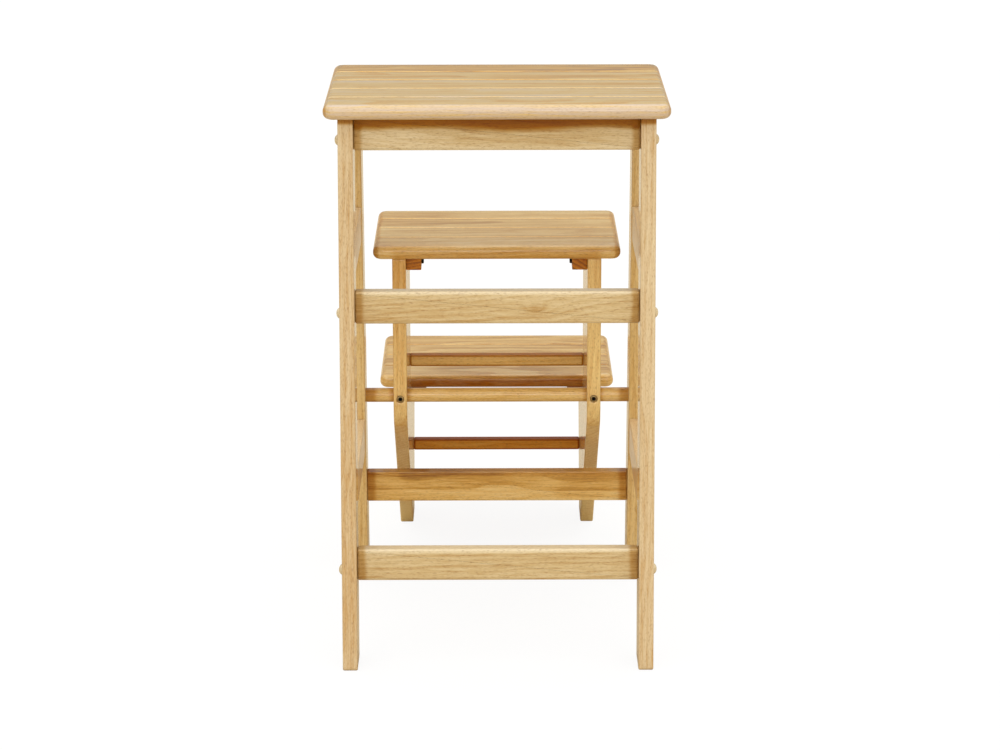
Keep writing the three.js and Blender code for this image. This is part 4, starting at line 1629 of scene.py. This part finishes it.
@dataclass
class StepUnit(Assembly):
    """The two treads between stair-shaped panels, which turn on the dowel.

    Attributes:
        panel_ease, panel_corner: easing and corners of the panels.
        crease_height, crease_radius: the rounded crease behind the pivot.
        foot_reach, foot_width, foot_corner: how far from the pivot the foot starts, and its size.
        riser_inset, shelf_corner: how far the riser lies inside the tread, and its inner corner.
        bolt_room: how much wider than its screw the pivot screw's hole is.
        lit_foot_place, lit_foot_reach, lit_foot_tone: painted light that makes the panels' feet paler.
        shaded_corner: painted shade at their upper rear corners, under the middle tread, its place counted
            from there.
        panel_heart, panel_tilt, panel_tone: where the tree's heart lay, and the panels' tone.
        stretcher_ease to tenon: easing, corners and tenons of the stretchers.
        bar_shade, bar_shade_amount: reach and strength of the painted shade along the stretchers' edges.
        cleat_ease, cleat_corner, cleat_shade_amount: the cleats, and the painted shade on the lower ones.
        dowel_chamfer, chamfer_bulge, dowel_sides: the dowel's rounded ends, and its points round.
        dowel_shade, dowel_shade_amount: reach and strength of the painted shade beside the legs and the
            panels.
        nose_reach, nose_half_length: painted shade under a tread's near edge, and where it ends.
        pivot_head, cleat_head: the two sorts of screws.
        tread_top: sizes of the treads' boards.
        panel_seeds, cleat_seeds: first seed and step of each pair.
    """

    body: str = "step_unit"
    panel_ease: float = 0.0018
    panel_corner: float = 0.0026
    crease_height: float = 0.2155
    crease_radius: float = 0.04
    foot_reach: float = 0.241
    foot_width: float = 0.062
    foot_corner: float = 0.004
    riser_inset: float = 0.026
    shelf_corner: float = 0.001
    bolt_room: float = 0.0008
    lit_foot_place: float = 0.03
    lit_foot_reach: float = 0.14
    lit_foot_tone: float = -0.35
    shaded_corner: Patch = Patch(along=0.0, across=0.0, reach_along=0.07, reach_across=0.05, tone=0.12)
    panel_heart: Span = (-0.10, -0.05)
    panel_tilt: float = 0.04
    panel_tone: float = -0.06
    stretcher_ease: float = 0.0013
    stretcher_corner: float = 0.0018
    tenon: float = 0.008
    bar_shade: float = 0.0028
    bar_shade_amount: float = 0.8
    cleat_ease: float = 0.001
    cleat_corner: float = 0.0015
    cleat_shade_amount: float = 0.8
    dowel_chamfer: float = 0.001
    chamfer_bulge: float = 0.3
    dowel_sides: int = 64
    dowel_shade: float = 0.016
    dowel_shade_amount: float = 0.45
    nose_reach: float = 0.018
    nose_half_length: float = 0.135
    pivot_head: ScrewHead = ScrewHead(shank=0.0021, socket=0.0019)
    cleat_head: ScrewHead = ScrewHead(shank=0.0018, socket=0.0018)
    tread_top: GroovedTop = GroovedTop(strips=4, corner_radius=0.011, groove_glint=0.0)
    panel_seeds: Span = (101.0, 6.7)
    cleat_seeds: Span = (151.0, 3.3)

    def build(self) -> None:
        """Builds every piece of the step unit."""
        for number, (side, sign) in enumerate(SIDES):
            self.panel(side, seed_of(self.panel_seeds, number))
            pivot = f"pivot_screw_{side}"
            self.bolt(pivot, self.pivot_head.surface(pivot, 1, 1), "bronzed_steel", BRONZED_STEEL)
            for step in ("middle", "lower"):
                self.cleat(step, side, seed_of(self.cleat_seeds, number))
                for place in (1, 2):
                    node = f"{step}_cleat_screw_{side}_{place}"
                    self.bolt(node, self.cleat_head.surface(node, 0, sign), "black_steel", BLACK_STEEL)
        self.tread("middle", (0.5, 0.55, 0.62, 0.6), seed=21.0, nose_shade=0.3, end_shade=0.35)
        self.tread("lower", (0.54, 0.6, 0.66, 0.66), seed=30.0, nose_shade=0.9, end_shade=0.1)
        self.stretcher("upper_stretcher", SHADED_AMBER_WOOD, seed=131.0, tone=-0.22)
        self.stretcher("lower_stretcher", SHADED_WOOD, seed=136.9, tone=-0.05)
        self.dowel()
        names = [f"{step}_tread_screw_{side}" for step in ("middle", "lower") for side, _ in SIDES]
        dress(names, BLACK_STEEL.material("tread_screw_steel"))

    def panel(self, side: str, seed: float) -> None:
        """A stair-shaped side panel with the sunk hole of its pivot screw.

        Args:
            side: left or right.
            seed: moves its pattern.
        """
        node = f"side_panel_{side}"
        low, high = corners_of(node)
        shelf = corners_of("lower_tread")[0][2]
        riser = corners_of("middle_tread")[1][1] - self.riser_inset
        foot = float(middle_of("pivot_dowel")[1]) + self.foot_reach
        corners = np.array(
            [
                [low[1], self.crease_height],
                [foot, low[2]],
                [foot + self.foot_width, low[2]],
                [high[1], shelf],
                [riser, shelf],
                [riser, high[2]],
                [low[1], high[2]],
            ]
        )
        head_low, head_high = corners_of(f"pivot_screw_{side}")
        middle = middle_of(f"pivot_screw_{side}")
        radius = float(head_high[2] - head_low[2]) / 2 + self.bolt_room
        depth = float(head_low[1] - low[1]) + self.pivot_head.height
        bore = Bore((middle[0], low[1], middle[2]), radius, depth)
        foot_corner, corner = self.foot_corner, self.panel_corner
        radii = (self.crease_radius, foot_corner, foot_corner, corner, self.shelf_corner, corner, corner)
        span = (low[0], high[0])
        skin = eased_board(corners, radii, span, self.panel_ease, Plane.UPRIGHT_SIDE, [bore])
        lit_foot_across = foot + self.lit_foot_place
        figure = Figure(
            Grain.UPRIGHT,
            seed,
            pith=(self.panel_heart[0], float(low[0]) + self.panel_heart[1]),
            tilt=self.panel_tilt,
            tone=self.panel_tone,
            # Painted light that pales the foot, and painted shade at the upper rear corner.
            patches=(
                Patch(self.lit_foot_place, lit_foot_across, self.lit_foot_reach, self.lit_foot_reach, self.lit_foot_tone),
                self.shaded_corner.moved(float(high[2]), float(low[1])),
            ),
        )
        self.wooden(node, "board", skin, "panel_wood", PANEL_WOOD, figure)

    def tread(
        self, step: str, tones: tuple[float, ...], seed: float, nose_shade: float, end_shade: float
    ) -> None:
        """A tread with four strips.

        Args:
            step: middle or lower.
            tones: tone of each strip.
            seed: moves its pattern.
            nose_shade: how dark the painted shade is along its lower edge.
            end_shade: how dark it is at its two ends.
        """
        node = f"{step}_tread"
        low, high = corners_of(node)
        near, under = float(low[1]), float(low[2])
        # Painted shade under the near edge and at both ends.
        painted_nose = ShadeBand(2, under, self.nose_reach, nose_shade, self.nose_half_length, edge=near)
        figure = Figure(
            Grain.CROSSWISE_FLAT,
            seed,
            bold=0.28,
            streaky=0.7,
            fineness=140.0,
            strips=Strips(near, float(high[1] - low[1]) / self.tread_top.strips, tones),
            painted_shade=(painted_nose, *darker_ends(low, high, self.nose_reach / 2, end_shade)),
        )
        self.wooden(node, "board", self.tread_top.surface(low, high), "tread_wood", GOLDEN_WOOD, figure)

    def stretcher(self, node: str, wood: VarnishedWood, seed: float, tone: float) -> None:
        """A square stretcher between the panels.

        Args:
            node: the solid that it replaces.
            wood: the wood that it is cut from.
            seed: moves its pattern.
            tone: above 0 for a darker piece.
        """
        low, high = corners_of(node)
        start, end = low[0] + self.tenon, high[0] - self.tenon
        corners = rectangle((low[2], start), (high[2], end))
        span = (low[1], high[1])
        skin = eased_board(corners, self.stretcher_corner, span, self.stretcher_ease, Plane.UPRIGHT_FACE)
        # Painted shade along the top, the bottom and both ends.
        edges = ((2, high[2]), (2, low[2]), (0, start), (0, end))
        reach, amount = self.bar_shade, self.bar_shade_amount
        painted_bands = tuple(ShadeBand(axis, float(edge), reach, amount) for axis, edge in edges)
        figure = Figure(Grain.CROSSWISE_UPRIGHT, seed, tone=tone, painted_shade=painted_bands)
        self.wooden(node, "bar", skin, "stretcher_wood", wood, figure)

    def cleat(self, step: str, side: str, seed: float) -> None:
        """A cleat in the corner under a tread, with the hole of its sunk screw.

        Args:
            step: middle or lower.
            side: left or right.
            seed: moves its pattern.
        """
        node = f"{step}_cleat_{side}"
        low, high = corners_of(node)
        bores = sunk_bores([f"{step}_tread_screw_{side}"], float(low[2]))
        corners, span = rectangle(low[1:], high[1:]), (low[0], high[0])
        skin = eased_board(corners, self.cleat_corner, span, self.cleat_ease, Plane.UPRIGHT_SIDE, bores)
        # A darker tone as painted shade; the lower cleats also get painted shade, darkest at the bottom.
        figure = Figure(Grain.LENGTHWISE, seed, tone=0.36, bold=0.7, streaky=0.9)
        if step == "lower":
            painted_bands = ShadeBand(2, float(low[2]), float(high[2] - low[2]), self.cleat_shade_amount)
            figure = replace(figure, painted_shade=(painted_bands,))
        self.wooden(node, "bar", skin, "stretcher_wood", SHADED_WOOD, figure)

    def dowel(self) -> None:
        """The round dowel that the unit turns on."""
        low, high = corners_of("pivot_dowel")
        radius = (high[2] - low[2]) / 2
        cut = self.dowel_chamfer
        bulge = cut * self.chamfer_bulge
        inner, outer = [radius - cut, 0], [radius - bulge, bulge]
        half = np.array([[0, 0], inner, outer, [radius, cut], [radius, cut * 2]])
        other = half[::-1] * [1, -1] + [0, high[0] - low[0]]
        start = [low[0], *middle_of("pivot_dowel")[1:]]
        skin = turned_piece(np.concatenate([half, other]), start, [1, 0, 0], self.dowel_sides)
        # Painted shade beside the front legs and the panels.
        spots = [corners_of(f"front_leg_{side}")[(1 - sign) // 2][0] for side, sign in SIDES]
        spots += [middle_of(f"side_panel_{side}")[0] for side, _ in SIDES]
        painted_bands = tuple(ShadeBand(0, float(spot), self.dowel_shade, self.dowel_shade_amount) for spot in spots)
        figure = Figure(Grain.CROSSWISE_UPRIGHT, seed=171.0, pith=(0.2, 0.1), painted_shade=painted_bands)
        self.wooden("pivot_dowel", "rod", skin, "turned_wood", GOLDEN_WOOD, figure)


@dataclass(frozen=True)
class Lamp:
    """A far lamp behind the camera: its angles in degrees, its strength and how wide it looks."""

    name: str
    azimuth: float
    height: float
    strength: float
    spread: float

    def build(self) -> None:
        """Adds the lamp."""
        data = bpy.data.lights.new(f"lamp_{self.name}", "SUN")
        data.energy = self.strength
        data.angle = math.radians(self.spread)
        made = bpy.data.objects.new(f"lamp_{self.name}", data)
        made.rotation_euler = (math.radians(90.0 - self.height), 0.0, math.radians(self.azimuth))
        bpy.context.scene.collection.objects.link(made)


@dataclass
class Studio:
    """A plain pale floor, soft lamps behind the camera, and the camera itself.

    Attributes:
        camera_place: where the camera stands.
        focal_pixels, image_width: its focal length and the picture's width, both in pixels.
        sensor_width: width of its sensor, in millimetres.
        view_range: nearest and farthest distance that it sees.
        pitch, yaw, roll: its three angles, in degrees.
        lamps: the lamps.
        sky_low, sky_high, sky_start: light from the horizon and from above, and where it climbs.
        sky_colour, horizon_colour: their colours.
        floor_reach: half of the floor's width.
        floor_white: how much of the floor the camera sees as plain white.
        floor_colour: colour of the light that the floor throws back on the object.
        mirrored_white: how white the floor is in the varnish.
        mirrored_from, mirrored_full: where on the floor, from front to back, that white begins.
    """

    camera_place: tuple[float, float, float] = (-0.00774, -3.8654, 1.2908)
    focal_pixels: float = 3136.2
    image_width: float = 1000.0
    sensor_width: float = 36.0
    view_range: Span = (0.05, 200.0)
    pitch: float = 14.886
    yaw: float = 0.173
    roll: float = -0.097
    lamps: tuple[Lamp, ...] = (
        Lamp("left", azimuth=-29.0, height=19.0, strength=0.46, spread=40.0),
        Lamp("right", azimuth=29.0, height=19.0, strength=0.46, spread=40.0),
        Lamp("middle", azimuth=0.0, height=17.0, strength=0.2, spread=14.0),
        Lamp("above", azimuth=0.0, height=50.0, strength=0.18, spread=35.0),
    )
    sky_low: float = 0.38
    sky_high: float = 1.67
    sky_start: float = 0.15
    sky_colour: Colour = (1.0, 0.99, 0.94, 1.0)
    horizon_colour: Colour = (1.0, 0.97, 0.86, 1.0)
    floor_reach: float = 30.0
    floor_white: float = 0.9
    floor_colour: Colour = (0.60, 0.51, 0.36, 1.0)
    mirrored_white: float = 0.12
    mirrored_from: float = 0.2
    mirrored_full: float = 0.5

    def build(self) -> None:
        """Sets up the camera, the lamps, the surroundings and the floor."""
        self.camera()
        for lamp in self.lamps:
            lamp.build()
        self.surroundings()
        self.floor()
        bpy.context.scene.view_settings.view_transform = "Standard"

    def camera(self) -> None:
        """The camera, from the fitted place, pitch, yaw and roll."""
        data = bpy.data.cameras.new("camera")
        data.sensor_width = self.sensor_width
        data.lens = self.focal_pixels * self.sensor_width / self.image_width
        data.clip_start, data.clip_end = self.view_range
        made = bpy.data.objects.new("camera", data)
        pitch, yaw, roll = (math.radians(v) for v in (self.pitch, self.yaw, self.roll))
        ahead = math.cos(pitch)
        forward = np.array([math.sin(yaw) * ahead, math.cos(yaw) * ahead, -math.sin(pitch)])
        level = np.array([math.cos(yaw), -math.sin(yaw), 0.0])
        upright = np.cross(level, forward)
        right = level * math.cos(roll) + upright * math.sin(roll)
        above = -level * math.sin(roll) + upright * math.cos(roll)
        turn = Matrix(np.stack([right, above, -forward], axis=1).tolist()).to_4x4()
        made.matrix_world = Matrix.Translation(self.camera_place) @ turn
        bpy.context.scene.collection.objects.link(made)
        bpy.context.scene.camera = made

    def surroundings(self) -> None:
        """White where the camera sees it, and a soft light from above on the object."""
        maker = NodeMaker(bpy.data.worlds.new("surroundings"))
        height = maker.place("Generated")[2]
        glows = ((self.horizon_colour, self.sky_low), (self.sky_colour, self.sky_high), (WHITE, 1.0))
        low, high, white = (
            maker.node("ShaderNodeBackground", {}, {"Color": colour, "Strength": strength})
            for colour, strength in glows
        )
        soft = maker.mix_shaders(height.between(self.sky_start, 1.0), low, high)
        seen = maker.mix_shaders(maker.path("Is Camera Ray"), soft, white)
        bpy.context.scene.world = maker.finish(seen, "ShaderNodeOutputWorld")

    def floor(self) -> None:
        """A wide pale floor that keeps the shadows."""
        reach = self.floor_reach
        mesh = bpy.data.meshes.new("floor")
        square = [(x, y, 0.0) for x, y in rectangle((-reach, -reach), (reach, reach))]
        mesh.from_pydata(square, [], [(0, 1, 2, 3)])
        maker = NodeMaker(bpy.data.materials.new("pale_floor"))
        camera_ray = maker.path("Is Camera Ray")
        colour = maker.mix(camera_ray, self.floor_colour, WHITE)
        matt = maker.node("ShaderNodeBsdfDiffuse", {}, {"Color": colour})
        white = maker.node("ShaderNodeEmission", {}, {"Color": WHITE, "Strength": 1.0})
        beyond = maker.place()[1].between(self.mirrored_from, self.mirrored_full) * self.mirrored_white
        share = camera_ray * self.floor_white + maker.path("Is Glossy Ray") * beyond
        mesh.materials.append(maker.finish(maker.mix_shaders(share, matt, white)))
        made = bpy.data.objects.new("floor", mesh)
        bpy.context.scene.collection.objects.link(made)


def main() -> None:
    """Builds the studio and both halves of the stool."""
    logging.basicConfig(level=logging.INFO, format="%(message)s")
    for assembly in (Studio(), SeatFrame(), StepUnit()):
        assembly.build()
        LOG.info("%s built", type(assembly).__name__)


if __name__ == "__main__":
    main()
